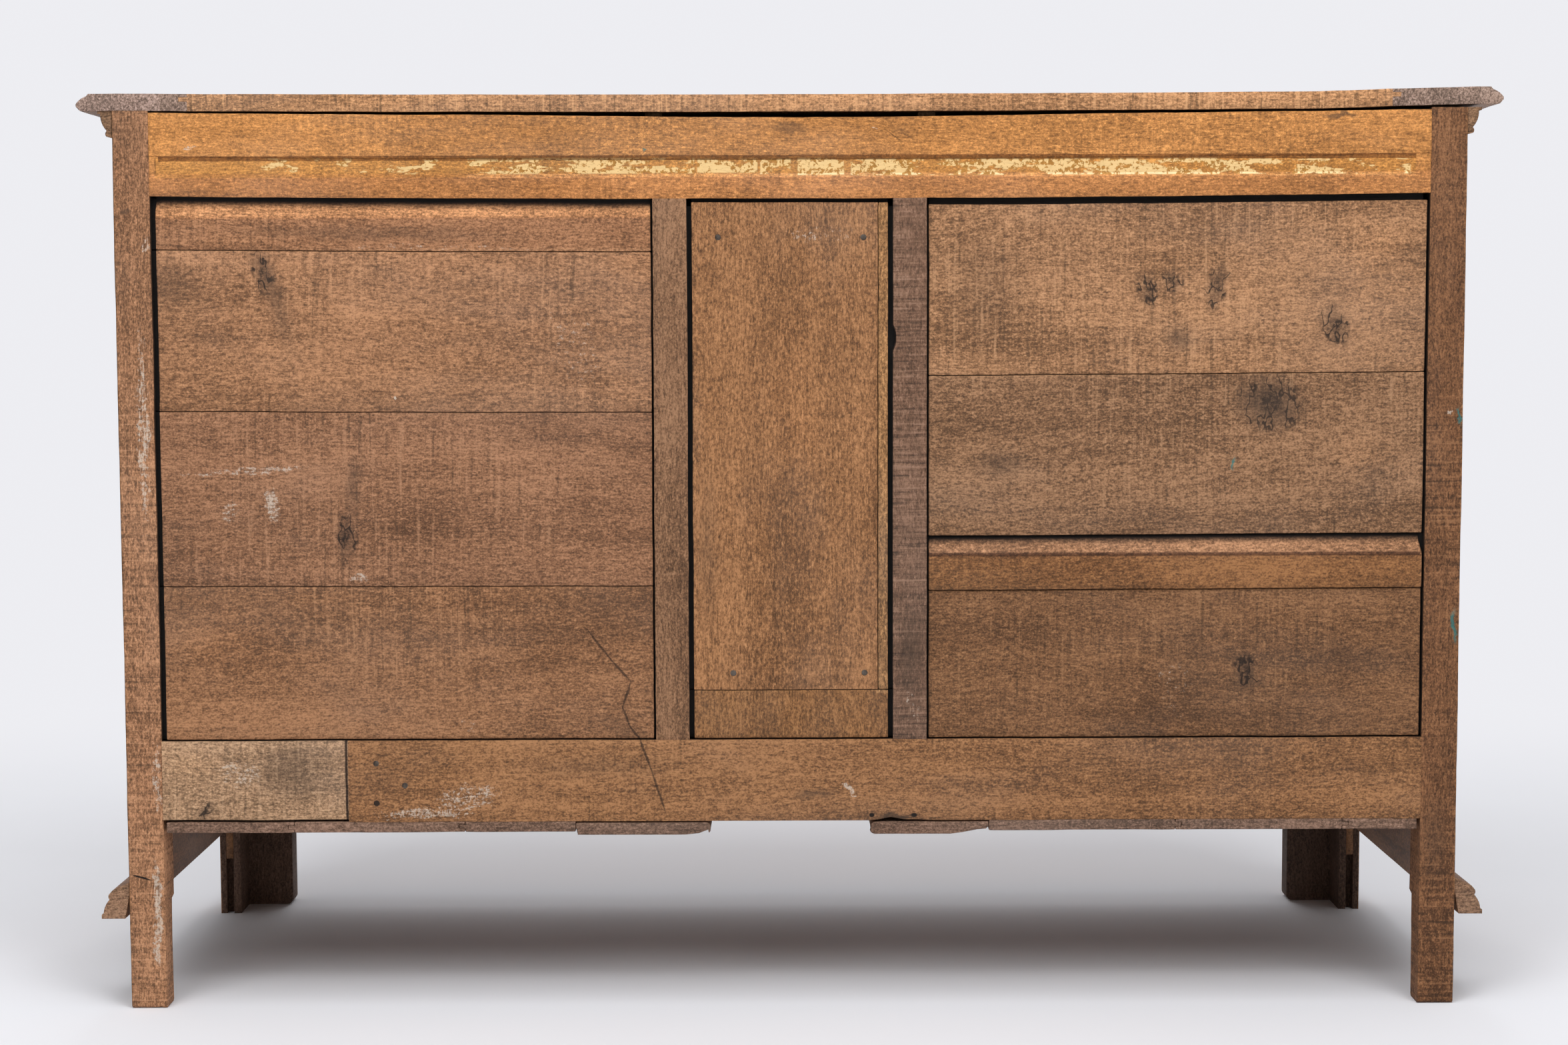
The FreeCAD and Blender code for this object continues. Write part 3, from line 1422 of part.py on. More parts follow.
def make_lock(side, name):
    key_x = LOCK_KEY_X if side == RIGHT else -LOCK_KEY_X
    front = FACE - s.escutcheon_thick
    plate = shaped_plate(
        ESCUTCHEON_SHARES, s.escutcheon_wide, s.escutcheon_high, key_x, LOCK_AT, FACE, front,
    )
    through = (FACE - s.overrun, FACE + s.overrun)
    hole = rod("y", s.key_hole_radius, (key_x, LOCK_AT), *through)
    slot = block(
        (key_x - s.key_bit_slot / 2, key_x + s.key_bit_slot / 2),
        through,
        (LOCK_AT - s.key_bit_down - s.fit_gap, LOCK_AT),
    )
    node(f"door_{name}_escutcheon", cut(plate, hole, slot))
    node(f"door_{name}_bolt", block(*bolt_space(side)))
    bow_y = FACE - s.key_bow_out
    ring = new("Part::Torus", "Bow")
    ring.Placement = FreeCAD.Placement(FreeCAD.Vector(), FreeCAD.Rotation(FreeCAD.Vector(0, 1, 0), 90))
    ring.setExpression("Radius1", s.key_bow_radius.text)
    ring.setExpression("Radius2", s.key_bow_rod.text)
    for place, value in zip("xyz", (key_x, bow_y, LOCK_AT)):
        ring.setExpression(f"Placement.Base.{place}", value.text)
    shaft_end = DOOR_BACK + s.lock_case_deep - s.key_end_sunk
    bow_inner = bow_y + s.key_bow_radius
    collar = bow_inner + s.key_collar_long
    bit = (DOOR_BACK + s.bolt_back, DOOR_BACK + s.bolt_back + s.key_bit_long)
    key = fuse(
        ring,
        rod("y", s.key_radius, (key_x, LOCK_AT), bow_inner, shaft_end),
        rod("y", s.key_collar_radius, (key_x, LOCK_AT), collar, collar + s.key_collar_long),
        block(
            (key_x - s.key_bit_thick / 2, key_x + s.key_bit_thick / 2),
            bit,
            (LOCK_AT - s.key_bit_down, LOCK_AT),
        ),
    )
    node(f"door_{name}_key", key)


def drawer_side(side, low):
    """A side with three dovetails at the front end."""
    joint = FACE + s.drawer_front_thick
    tip = FACE + s.drawer_lap
    end = BACK_IN - s.drawer_back_gap
    foot = low + s.drawer_run_gap
    top = foot + DRAWER_SIDE_HIGH
    tails = 3
    pitch = DRAWER_SIDE_HIGH / tails
    outline = [(end, foot), (end, top), (joint, top)]
    for tail in reversed(range(tails)):
        base_low = foot + pitch * tail + s.drawer_tail_narrow
        base_high = foot + pitch * (tail + 1) - s.drawer_tail_narrow
        outline += [
            (joint, base_high),
            (tip, base_high + s.drawer_tail_flare),
            (tip, base_low - s.drawer_tail_flare),
            (joint, base_low),
        ]
    outline.append((joint, foot))
    outer = s.muntin_in - s.drawer_side_gap
    return bar("YZ_Plane", outline, *span(side, outer - s.drawer_side_thick, outer))


PLATE_SHARES = [
    (1, -0.3, 0.9), (1, 0.3, -0.55), (0.72, 0.68, -1.4), (0.28, 0.6, -0.9), (0, 1, -0.9),
    (-0.28, 0.6, -1.4), (-0.72, 0.68, -0.55), (-1, 0.3, 0.9), (-1, -0.3, -0.55), (-0.72, -0.68, -1.4),
    (-0.28, -0.6, -0.9), (0, -1, -0.9), (0.28, -0.6, -1.4), (0.72, -0.68, -0.55),
]


def make_bail(x, y, z):
    """A round rod bent into a flat U, its ends turned in to sit in the two eyes."""
    body = new("PartDesign::Body", "Bail")
    eye = s.eye_apart / 2
    limb = eye + s.bail_shoulder + s.bail_bend
    start = eye - s.bail_end_in
    path = body.newObject("Sketcher::SketchObject", "Path")
    support = [feature for feature in body.Origin.OriginFeatures if feature.Role == "XZ_Plane"]
    path.AttachmentSupport = [(support[0], "")]
    path.MapMode = "FlatFace"
    path.setExpression("AttachmentOffset.Base.z", (-y).text)
    points = [
        (x + start, z),
        (x + eye + s.bail_shoulder, z, -s.bail_bend),
        (x + limb, z - s.bail_bend),
        (x + limb, z - s.bail_drop + s.bail_corner, -s.bail_corner),
        (x + limb - s.bail_corner, z - s.bail_drop),
        (x - limb + s.bail_corner, z - s.bail_drop, -s.bail_corner),
        (x - limb, z - s.bail_drop + s.bail_corner),
        (x - limb, z - s.bail_bend, -s.bail_bend),
        (x - eye - s.bail_shoulder, z),
        (x - start, z),
    ]
    numbers = [(point[0].number, point[1].number) for point in points]
    ends = []
    for index in range(len(points) - 1):
        first, second = numbers[index], numbers[index + 1]
        if len(points[index]) == 2:
            path.addGeometry(Part.LineSegment(FreeCAD.Vector(*first, 0), FreeCAD.Vector(*second, 0)))
            ends.append((1, 2))
            continue
        radius = points[index][2].number
        centre = arc_centre(first, second, radius)
        turns = [math.atan2(place[1] - centre[1], place[0] - centre[0]) for place in (second, first)]
        if turns[1] < turns[0]:
            turns[1] += 2 * math.pi
        circle = Part.Circle(FreeCAD.Vector(*centre, 0), FreeCAD.Vector(0, 0, 1), abs(radius))
        path.addGeometry(Part.ArcOfCircle(circle, *turns))
        ends.append((2, 1))
    for index in range(len(ends)):
        if index + 1 < len(ends):
            join = Sketcher.Constraint("Coincident", index, ends[index][1], index + 1, ends[index + 1][0])
            path.addConstraint(join)
    for index, point in enumerate(points):
        geometry, place = (index, ends[index][0]) if index < len(ends) else (index - 1, ends[-1][1])
        for kind, value in zip(("DistanceX", "DistanceY"), point):
            number = path.addConstraint(Sketcher.Constraint(kind, -1, 1, geometry, place, value.number))
            path.setExpression(f"Constraints[{number}]", value.text)
        if len(point) == 3:
            radius = -point[2]
            number = path.addConstraint(Sketcher.Constraint("Radius", index, radius.number))
            path.setExpression(f"Constraints[{number}]", radius.text)
    ring = body.newObject("Sketcher::SketchObject", "Section")
    support = [feature for feature in body.Origin.OriginFeatures if feature.Role == "YZ_Plane"]
    ring.AttachmentSupport = [(support[0], "")]
    ring.MapMode = "FlatFace"
    ring.setExpression("AttachmentOffset.Base.z", (x + start).text)
    centre = FreeCAD.Vector(y.number, z.number, 0)
    ring.addGeometry(Part.Circle(centre, FreeCAD.Vector(0, 0, 1), s.bail_rod.number))
    for kind, value in (("DistanceX", y), ("DistanceY", z)):
        number = ring.addConstraint(Sketcher.Constraint(kind, -1, 1, 0, 3, value.number))
        ring.setExpression(f"Constraints[{number}]", value.text)
    number = ring.addConstraint(Sketcher.Constraint("Radius", 0, s.bail_rod.number))
    ring.setExpression(f"Constraints[{number}]", s.bail_rod.text)
    pipe = body.newObject("PartDesign::AdditivePipe", "Rod")
    pipe.Profile = ring
    pipe.Spine = (path, [f"Edge{number}" for number in range(1, len(points))])
    return body


# The bail hangs from eyes that stand this share of its drop above the middle of the drawer.
BAIL_RISE_SHARE = 0.25


def make_drawer(number):
    """Front, two sides, back and bottom, with a brass plate and a hanging bail on the front."""
    low = drawer_low(number)
    half = s.muntin_in - s.drawer_gap
    face = rectangle((-half, half), inset((low, low + OPENING_HIGH), s.drawer_gap))
    across = inset((-half, half), s.drawer_field_margin)
    up = inset((face[0][1], face[2][1]), s.drawer_field_margin)
    crest_y = FACE - s.drawer_field_out
    front = raised_panel(
        "XZ_Plane", face, FACE, FACE + s.drawer_front_thick,
        rectangle(across, up), FACE,
        rectangle(inset(across, s.drawer_field_bevel), inset(up, s.drawer_field_bevel)), crest_y,
    )
    sides = [drawer_side(side, low) for side in (LEFT, RIGHT)]
    inner = s.muntin_in - s.drawer_side_gap - s.drawer_side_thick
    end = BACK_IN - s.drawer_back_gap
    bottom = (
        (-inner - s.drawer_bottom_groove, inner + s.drawer_bottom_groove),
        (FACE + s.drawer_front_thick - s.drawer_bottom_groove, end),
        (low + s.drawer_bottom_up, low + s.drawer_bottom_up + s.drawer_bottom_thick),
    )
    groove = block(*grown(bottom, s.fit_gap))
    back = block(
        (-inner, inner),
        (end - s.drawer_side_thick, end),
        (low + s.drawer_back_up, low + s.drawer_run_gap + DRAWER_SIDE_HIGH),
    )
    name = f"drawer_{number + 1}"
    node(name, cut(front, groove, *sides), *[cut(side, groove) for side in sides], back, block(*bottom))

    middle = low + OPENING_HIGH / 2
    plate_front = crest_y - s.plate_thick
    eye_y = plate_front - s.eye_out
    eye_z = middle + s.bail_drop * BAIL_RISE_SHARE
    plate = shaped_plate(PLATE_SHARES, s.plate_wide, s.plate_high, ZERO, eye_z, crest_y, plate_front)
    eyes = []
    for side in (LEFT, RIGHT):
        x = s.eye_apart / 2 if side == RIGHT else -s.eye_apart / 2
        eyes.append(rod("y", s.eye_post_radius, (x, eye_z), eye_y, plate_front))
        eyes.append(ball(s.eye_radius, x, eye_y, eye_z))
    reach = s.eye_apart / 2 + s.eye_radius + s.overrun
    bore = rod("x", s.bail_rod + s.bail_fit, (eye_y, eye_z), -reach, reach)
    node(f"{name}_pull_plate", cut(fuse(plate, *eyes), bore))
    node(f"{name}_bail", make_bail(ZERO, eye_y, eye_z))


# The sideboard, piece by piece

make_rear_posts()
make_back_rails()
make_back_muntins()
make_back_boards()
make_centre_back()
make_sides()
make_front_posts()
make_front_frame()
make_partitions()
make_bearers()
make_floor()
make_shelves()
make_top()
make_mouldings()
make_hinges()
for hand, word in SIDES:
    make_door(hand, word)
    make_lock(hand, word)
for place in range(DRAWERS):
    make_drawer(place)

doc.recompute()
failed = [item.Name for item in doc.Objects if {"Invalid", "Error"} & set(item.State)]
for label, piece in nodes.items():
    shape = piece.Shape
    if shape.isNull() or not shape.isValid() or not shape.Solids:
        failed.append(label)
if failed:
    raise SystemExit(f"not made: {failed}")

os.makedirs("parts", exist_ok=True)
for label, piece in nodes.items():
    piece.Shape.exportStep(f"parts/{label}.step")
print(len(nodes), "sub-parts,", sum(len(piece.Shape.Solids) for piece in nodes.values()), "solids")
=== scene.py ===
"""Looks of the sideboard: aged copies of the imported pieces, oak, iron and brass, and studio light."""

import json
import math
import random

import bmesh
import bpy
from mathutils import Matrix, Vector, noise


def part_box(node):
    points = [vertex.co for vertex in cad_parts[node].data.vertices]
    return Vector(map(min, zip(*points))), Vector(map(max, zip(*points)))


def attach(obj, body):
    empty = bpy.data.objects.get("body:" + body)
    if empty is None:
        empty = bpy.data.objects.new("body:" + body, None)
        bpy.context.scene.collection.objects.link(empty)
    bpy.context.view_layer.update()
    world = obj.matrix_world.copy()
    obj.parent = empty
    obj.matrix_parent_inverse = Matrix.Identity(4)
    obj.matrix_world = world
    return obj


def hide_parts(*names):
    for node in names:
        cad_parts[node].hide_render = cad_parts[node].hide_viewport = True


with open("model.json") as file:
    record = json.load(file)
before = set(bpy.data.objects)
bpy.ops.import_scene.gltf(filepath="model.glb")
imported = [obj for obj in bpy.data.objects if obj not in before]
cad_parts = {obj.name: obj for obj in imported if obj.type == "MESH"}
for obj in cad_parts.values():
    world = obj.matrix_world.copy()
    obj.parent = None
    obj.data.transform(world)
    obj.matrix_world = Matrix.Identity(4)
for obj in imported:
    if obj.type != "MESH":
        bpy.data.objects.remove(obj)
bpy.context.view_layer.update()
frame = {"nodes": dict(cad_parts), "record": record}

# Camera, as fitted to the photograph
IMAGE_WIDE = 2352
IMAGE_HIGH = 1568
SENSOR_WIDE = 36.0
LENS = 58.506
CAMERA_AT = Vector((0.0191, 3.36, 0.8248))
CAMERA_RIGHT = Vector((-0.9999886, 0.0035973, -0.0031301))
CAMERA_DOWN = Vector((0.0033985, 0.0771998, -0.9970099))
CAMERA_FORWARD = Vector((-0.0033449, -0.9970091, -0.0772112))

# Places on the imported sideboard
MM = 0.001
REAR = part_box("rear_post_left")[1].y
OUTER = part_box("rear_post_left")[0].x
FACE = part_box("front_post_left")[0].y
PIXEL_LONG = 0.796 * MM


def on_back(x, y):
    """The point of the rear plane that shows at this pixel of the photograph."""
    focal = LENS / SENSOR_WIDE * IMAGE_WIDE
    across = CAMERA_RIGHT * ((x - IMAGE_WIDE / 2) / focal)
    down = CAMERA_DOWN * ((y - IMAGE_HIGH / 2) / focal)
    ray = CAMERA_FORWARD + across + down
    return CAMERA_AT + ray * ((REAR - CAMERA_AT.y) / ray.y)


# Material building


class Shader:
    """One material's nodes. A value is a number, a colour or another node's output."""

    def __init__(self, name):
        self.material = bpy.data.materials.new(name)
        self.material.use_nodes = True
        self.tree = self.material.node_tree
        self.surface = self.tree.nodes["Principled BSDF"]
        self.point = self.tree.nodes.new("ShaderNodeTexCoord").outputs["Object"]

    def put(self, socket, value):
        if isinstance(value, bpy.types.NodeSocket):
            self.tree.links.new(value, socket)
        elif value is not None:
            socket.default_value = value

    def add(self, kind, *values, **settings):
        made = self.tree.nodes.new("ShaderNode" + kind)
        for name, value in settings.items():
            setattr(made, name, value)
        for socket, value in zip(made.inputs, values):
            self.put(socket, value)
        return made

    def math(self, operation, first, second=0.0):
        return self.add("Math", first, second, operation=operation).outputs[0]

    def times(self, first, *others):
        for other in others:
            first = self.math("MULTIPLY", first, other)
        return first

    def plus(self, first, *others):
        for other in others:
            first = self.math("ADD", first, other)
        return first

    def centred(self, value):
        return self.math("SUBTRACT", value, 0.5)

    def vector(self, operation, first, second):
        return self.add("VectorMath", first, second, operation=operation).outputs[0]

    def parts(self, point):
        return self.add("SeparateXYZ", point).outputs

    def noise(self, point, scales, detail=2.0, rough=0.5):
        mapped = self.add("Mapping", point, None, None, scales).outputs[0]
        return self.add("TexNoise", mapped, None, 1.0, detail, rough).outputs[0]

    def noise_vector(self, point, scales, detail, rough=0.5):
        """A noise of three parts, each about zero."""
        mapped = self.add("Mapping", point, None, None, scales).outputs[0]
        colour = self.add("TexNoise", mapped, None, 1.0, detail, rough).outputs[1]
        return self.vector("SUBTRACT", colour, (0.5, 0.5, 0.5))

    def step(self, value, low, high, bottom=0.0, top=1.0):
        made = self.add("MapRange", value, low, high, bottom, top, interpolation_type="SMOOTHSTEP")
        return made.outputs[0]

    def mix(self, factor, first, second, blend="MIX"):
        made = self.add("Mix", data_type="RGBA", blend_type=blend)
        for number, value in ((0, factor), (6, first), (7, second)):
            self.put(made.inputs[number], value)
        return made.outputs[2]

    def ramp(self, value, stops):
        made = self.add("ValToRGB", value)
        ramp = made.color_ramp
        while len(ramp.elements) < len(stops):
            ramp.elements.new(1.0)
        for element, (place, colour) in zip(ramp.elements, stops):
            element.position = place
            element.color = colour
        return made.outputs[0]

    def bump(self, height, strength, distance):
        made = self.add("Bump", strength, distance)
        self.put(made.inputs["Height"], height)
        self.put(self.surface.inputs["Normal"], made.outputs[0])


def tone(colour, share, warm=0.0):
    """A colour made lighter or darker; warm moves it from grey towards orange."""
    red, green, blue = (value * share for value in colour)
    return (red * (1 + warm), green, blue * (1 - warm), 1.0)


# Grain: which of X, Y and Z runs along the wood and which across it
GRAINS = {"x": (0, 2, 1), "z": (2, 0, 1), "y": (1, 0, 2)}
GRAIN_TILT = 1.6
GRAIN_SHIFT = 9
WANDER = ((2.5, 9.0, 9.0), 2.0)
WANDER_REACH = (0.0, 0.05, 0.05)

# Where a door's and a side's parts meet
DOOR_STILE = 75 * MM
DOOR_LOW, DOOR_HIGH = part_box("door_right_frame")
DOOR_MIDDLE = (DOOR_LOW.x + DOOR_HIGH.x) / 2
DOOR_HALF = (DOOR_HIGH.x - DOOR_LOW.x) / 2 - DOOR_STILE
SIDE_RAILS = ((0.0, 0.242), (0.538, 0.622), (0.980, 1.2))
JOINT = 0.3 * MM


def on_rail(shader, parts, grain):
    """1 where a framed piece is a rail, 0 where it is a stile or panel."""
    if grain == "door":
        off = shader.math("SUBTRACT", shader.math("ABSOLUTE", parts[0]), DOOR_MIDDLE)
        return shader.step(shader.math("ABSOLUTE", off), DOOR_HALF + JOINT, DOOR_HALF - JOINT)
    total = 0.0
    for low, high in SIDE_RAILS:
        over = shader.step(parts[2], low - JOINT, low + JOINT)
        under = shader.step(parts[2], high + JOINT, high - JOINT)
        total = shader.plus(shader.times(over, under), total)
    return total


def turned(shader, parts, grain):
    return shader.add("CombineXYZ", *[parts[i] for i in GRAINS[grain]]).outputs[0]


def turned_point(shader, grain):
    """Object coordinates with X along the grain, in a framed piece along each part's own grain."""
    parts = shader.parts(shader.point)
    if grain in GRAINS:
        return turned(shader, parts, grain)
    level = turned(shader, parts, "x" if grain == "door" else "y")
    return shader.mix(on_rail(shader, parts, grain), turned(shader, parts, "z"), level)


def grain_point(shader, grain, seed):
    """Object coordinates turned so that X runs along the grain, without and with a slow wander."""
    draw = random.Random(seed)
    shift = tuple(draw.uniform(0, GRAIN_SHIFT) for _ in range(3))
    tilt = (0, 0, math.radians(draw.uniform(-GRAIN_TILT, GRAIN_TILT)))
    placed = shader.add("Mapping", turned_point(shader, grain), shift, tilt).outputs[0]
    wander = shader.noise_vector(placed, *WANDER)
    return placed, shader.vector("ADD", placed, shader.vector("MULTIPLY", wander, WANDER_REACH))


# Colours of what lies on the wood
HEART_BLACK = (0.010, 0.006, 0.004, 1.0)
# painted shade for the back's gaps and grooves
GAP_SHADE_BLACK = (0.006, 0.004, 0.003, 1.0)
PLASTER = (0.66, 0.56, 0.46, 1.0)
TEAL = (0.03, 0.17, 0.16, 1.0)
GLUE = (0.82, 0.56, 0.25, 1.0)
GLUE_BROWN = (0.40, 0.19, 0.035, 1.0)
SOOT = (0.060, 0.037, 0.024, 1.0)
LIGHTER = (1.45, 1.40, 1.32, 1.0)
PAINTS = {"stain": (SOOT, 0.6), "line": (HEART_BLACK, 1.0), "teal": (TEAL, 0.8)}

# How deep a mark reaches into the wood
SHALLOW = 4 * MM
MIDDLING = 20 * MM
USUAL = 30 * MM
DEEP = 50 * MM


def spot(kind, x, y, wide, high, turn=0, deep=USUAL, core=0.35, strength=1.0):
    """A mark over an ellipse, its middle and half its size in pixels of the photograph."""
    return {
        "kind": kind, "at": (x, y), "wide": wide, "high": high, "turn": turn,
        "deep": deep, "core": core, "strength": strength,
    }


def band(left, high, right, low, tint, blur=MM):
    """A tint over a rectangle between pixels of the photograph."""
    corners = {"from": (left, high), "to": (right, low)}
    return {"kind": "band", "tint": (*tint, 1.0), "blur": blur, "strength": 1.0, **corners}


def glue(left, high, right, low, strength):
    """Old glue over a rectangle between pixels of the photograph."""
    return {"kind": "glue", "from": (left, high), "to": (right, low), "blur": MM, "strength": strength}


def inside_spot(shader, point, mark):
    """The distance from a mark's middle, 1 at its edge, and its cover: 1 in the core, 0 at the edge."""
    radii = (mark["wide"] * PIXEL_LONG, mark["deep"], mark["high"] * PIXEL_LONG)
    turn = (0, math.radians(mark["turn"]), 0)
    place = on_back(*mark["at"])
    mapped = shader.add("Mapping", point, place, turn, radii, vector_type="TEXTURE").outputs[0]
    distance = shader.add("VectorMath", mapped, operation="LENGTH").outputs[1]
    return distance, shader.step(distance, 1.0, mark["core"])


def in_band(shader, parts, mark):
    """1 between two heights of the photograph and two places along it, with rather sharp edges."""
    blur = mark["blur"]
    start = on_back(*mark["from"])
    end = on_back(*mark["to"])
    past_end = shader.step(parts[0], end.x - blur, end.x + blur)
    past_start = shader.step(parts[0], start.x + blur, start.x - blur)
    over_low = shader.step(parts[2], end.z - blur, end.z + blur)
    under_high = shader.step(parts[2], start.z + blur, start.z - blur)
    return shader.times(shader.times(past_end, past_start), shader.times(over_low, under_high))


# Where a knot's parts start and are full, as shares of its radius or of the noise
KNOT_SHADE = (1.5, 0.3)
KNOT_SHADE_SHARE = 0.50
CRACK = (0.040, 0.012)
CRACK_REACH = (1.3, 0.8)
HEART_REACH = (0.50, 0.20)
HEART_CRUMBS = (0.40, 0.55)
KNOT_SHARE = 0.85


def knot_over(shader, colour, distance, crumbs, veins, strength):
    """A knot: a small dark heart and crooked cracks, in wood that darkens towards it."""
    near = shader.step(distance, *KNOT_SHADE)
    colour = shader.mix(shader.times(near, KNOT_SHADE_SHARE * strength), colour, SOOT)
    off = shader.math("ABSOLUTE", shader.centred(veins))
    cracks = shader.times(shader.step(off, *CRACK), shader.step(distance, *CRACK_REACH))
    heart = shader.times(shader.step(distance, *HEART_REACH), shader.step(crumbs, *HEART_CRUMBS))
    both = shader.math("MAXIMUM", cracks, heart)
    return shader.mix(shader.times(both, KNOT_SHARE * strength), colour, HEART_BLACK)


# Glue: its crumbs' scale, and where the film and the crumbs start and are full
GLUE_SCALE = 260.0
GLUE_SPREAD = (0.56, 0.60)
GLUE_SPREAD_SHARE = 0.12
GLUE_BROWN_SHARE = 0.75
GLUE_PALE = (0.76, 0.83)
GLUE_PALE_SHARE = 0.6


def glue_over(shader, colour, inside, clouds, strength):
    """Old glue: a brown film that pale crumbs still cover in places."""
    grains = shader.add("TexNoise", shader.point, None, GLUE_SCALE, 3.0, 0.6).outputs[0]
    spread_edge = [edge - GLUE_SPREAD_SHARE * strength for edge in GLUE_SPREAD]
    covered = shader.times(inside, shader.step(clouds, *spread_edge))
    colour = shader.mix(shader.times(covered, GLUE_BROWN_SHARE), colour, GLUE_BROWN)
    pale = shader.step(shader.plus(grains, shader.times(clouds, GLUE_PALE_SHARE)), *GLUE_PALE)
    return shader.mix(shader.times(covered, pale), colour, GLUE)


# A smear: how much it is broken up and combed, and where it starts and is full
SMEAR_BROKEN = 2.8
SMEAR_COMBED = 1.8
SMEAR_EDGE = (0.70, 1.15)
SMEAR_FADE = (0.0, 0.3)
SMEAR_SHARE = 0.70


def smear_over(shader, colour, inside, cover, crumbs, streaks):
    """Plaster smeared on the wood, broken up and combed along the grain."""
    broken = shader.times(shader.centred(crumbs), SMEAR_BROKEN)
    combed = shader.times(shader.centred(streaks), SMEAR_COMBED)
    factor = shader.step(shader.plus(cover, broken, combed), *SMEAR_EDGE)
    shown = shader.times(factor, shader.times(shader.step(inside, *SMEAR_FADE), SMEAR_SHARE))
    return shader.mix(shown, colour, PLASTER)


# How far a mark's edge wanders, and the noises that break marks up
WOBBLE = ((55.0, 55.0, 55.0), 4.0, 0.6)
SPOT_SHAKE = (0.022, 0.022, 0.022)
LINE_SHAKE = (0.003, 0.0, 0.0012)
CRUMBS = ((300.0, 300.0, 300.0), 4.0, 0.75)
CLOUDS = ((26.0, 26.0, 90.0), 3.0, 0.6)
VEINS = ((75.0, 75.0, 48.0), 2.0, 0.5)


def painted_marks(shader, colour, marks, streaks):
    """Knots, stains, plaster smears, glue, coloured scratches and tinted bands laid over the wood; some
    bands are painted highlight and painted shadow.
    """
    shake = shader.noise_vector(shader.point, *WOBBLE)
    near = shader.vector("ADD", shader.point, shader.vector("MULTIPLY", shake, SPOT_SHAKE))
    nearly = shader.vector("ADD", shader.point, shader.vector("MULTIPLY", shake, LINE_SHAKE))
    parts = shader.parts(nearly)
    crumbs = shader.noise(shader.point, *CRUMBS)
    clouds = shader.noise(shader.point, *CLOUDS)
    veins = shader.noise(shader.point, *VEINS)
    for mark in marks:
        kind = mark["kind"]
        strength = mark["strength"]
        if kind in ("band", "glue"):
            inside = in_band(shader, parts, mark)
        else:
            distance, inside = inside_spot(shader, nearly if kind == "line" else near, mark)
        cover = shader.times(inside, strength)
        if kind == "knot":
            colour = knot_over(shader, colour, distance, crumbs, veins, strength)
        elif kind == "glue":
            colour = glue_over(shader, colour, inside, clouds, strength)
        elif kind == "smear":
            colour = smear_over(shader, colour, inside, cover, crumbs, streaks)
        elif kind in PAINTS:
            paint, paint_share = PAINTS[kind]
            colour = shader.mix(shader.times(cover, paint_share), colour, paint)
        else:
            colour = shader.mix(cover, colour, mark.get("tint", LIGHTER), "MULTIPLY")
    return colour


# Painted shade in the back's gaps and grooves: where it starts and is full
GAP_NEAR = REAR - 5.0 * MM
GAP_DEEP = REAR - 8.5 * MM
GAP_END = REAR - 60.0 * MM
GAP_END_FULL = GAP_END + 10.0 * MM
GAP_LOW = 0.229
GAP_LOW_FULL = GAP_LOW + 2.0 * MM
GAP_SIDE = 0.7965
GAP_SIDE_FULL = GAP_SIDE - 1.0 * MM
SUNK = REAR - 1.0 * MM
SUNK_FULL = REAR - 2.2 * MM
EDGE_ON = (0.55, 0.15)
EDGE_SHARE = 0.85
OUTWARD = (-0.6, -0.3)


def painted_shade_in_gaps(shader, colour):
    """Paints shade into the back's grooves and joints: blackens deep places and edge-on faces, where
    shadow falls.
    """
    parts = shader.parts(shader.point)
    normal = shader.parts(shader.add("NewGeometry").outputs["True Normal"])
    deep = shader.step(parts[1], GAP_NEAR, GAP_DEEP)
    not_inside = shader.step(parts[1], GAP_END, GAP_END_FULL)
    edge_on = shader.step(shader.math("ABSOLUTE", normal[1]), *EDGE_ON)
    above = shader.step(parts[2], GAP_LOW, GAP_LOW_FULL)
    within = shader.step(shader.math("ABSOLUTE", parts[0]), GAP_SIDE, GAP_SIDE_FULL)
    sunk = shader.step(parts[1], SUNK, SUNK_FULL)
    either = shader.math("MAXIMUM", deep, shader.times(edge_on, sunk, EDGE_SHARE))
    outward = shader.step(normal[1], *OUTWARD)
    kept = shader.times(above, within, not_inside, outward)
    return shader.mix(shader.times(either, kept), colour, GAP_SHADE_BLACK)


# The waxed finish: its colour, its gloss, and where it starts and is full
FRONT_COLOUR = (0.205, 0.092, 0.034)
FRONT_GLOSS = 0.34
WAX_REAR = (REAR - 1.5 * MM, REAR - 4.0 * MM)
WAX_BESIDE = (-OUTER - 2.0 * MM, -OUTER - 0.7 * MM)
WAX_BEFORE = (FACE + 3.0 * MM, FACE + 1.0 * MM)


def finished_faces(shader, where):
    """1 on the faces that were stained and waxed: all but the rear ends, or only the case's outside."""
    parts = shader.parts(shader.point)
    if where == "all but rear":
        return shader.step(parts[1], *WAX_REAR)
    beside = shader.step(shader.math("ABSOLUTE", parts[0]), *WAX_BESIDE)
    return shader.math("MAXIMUM", beside, shader.step(parts[1], *WAX_BEFORE))


# Noises of the wood: scales along and across the grain, detail and roughness
RINGS = ((0.9, 34.0, 34.0), 4.0, 0.62)
FIBRES = ((48.0, 430.0, 430.0), 4.0, 0.72)
PORES = ((70.0, 800.0, 800.0), 2.0, 0.6)
PORE_EDGE = (0.55, 0.68)
BLOTCHES = ((4.0, 8.0, 8.0), 5.0, 0.68)
MOTTLE = ((130.0, 260.0, 260.0), 4.0, 0.8)
GRIT = ((340.0, 430.0, 430.0), 4.0, 0.8)
GREYING = ((2.2, 6.0, 6.0), 4.0, 0.6)
GREYING_EDGE = (0.46, 0.70)
CUTS = ((215.0, 9.0, 9.0), 2.0, 0.7)
CUT_PATCHES = ((3.1, 4.3, 4.3), 3.0)
CUT_PATCH_EDGE = (0.44, 0.62)
CUT_USUAL = 0.8
CUT_REACH_SHARE = 0.14


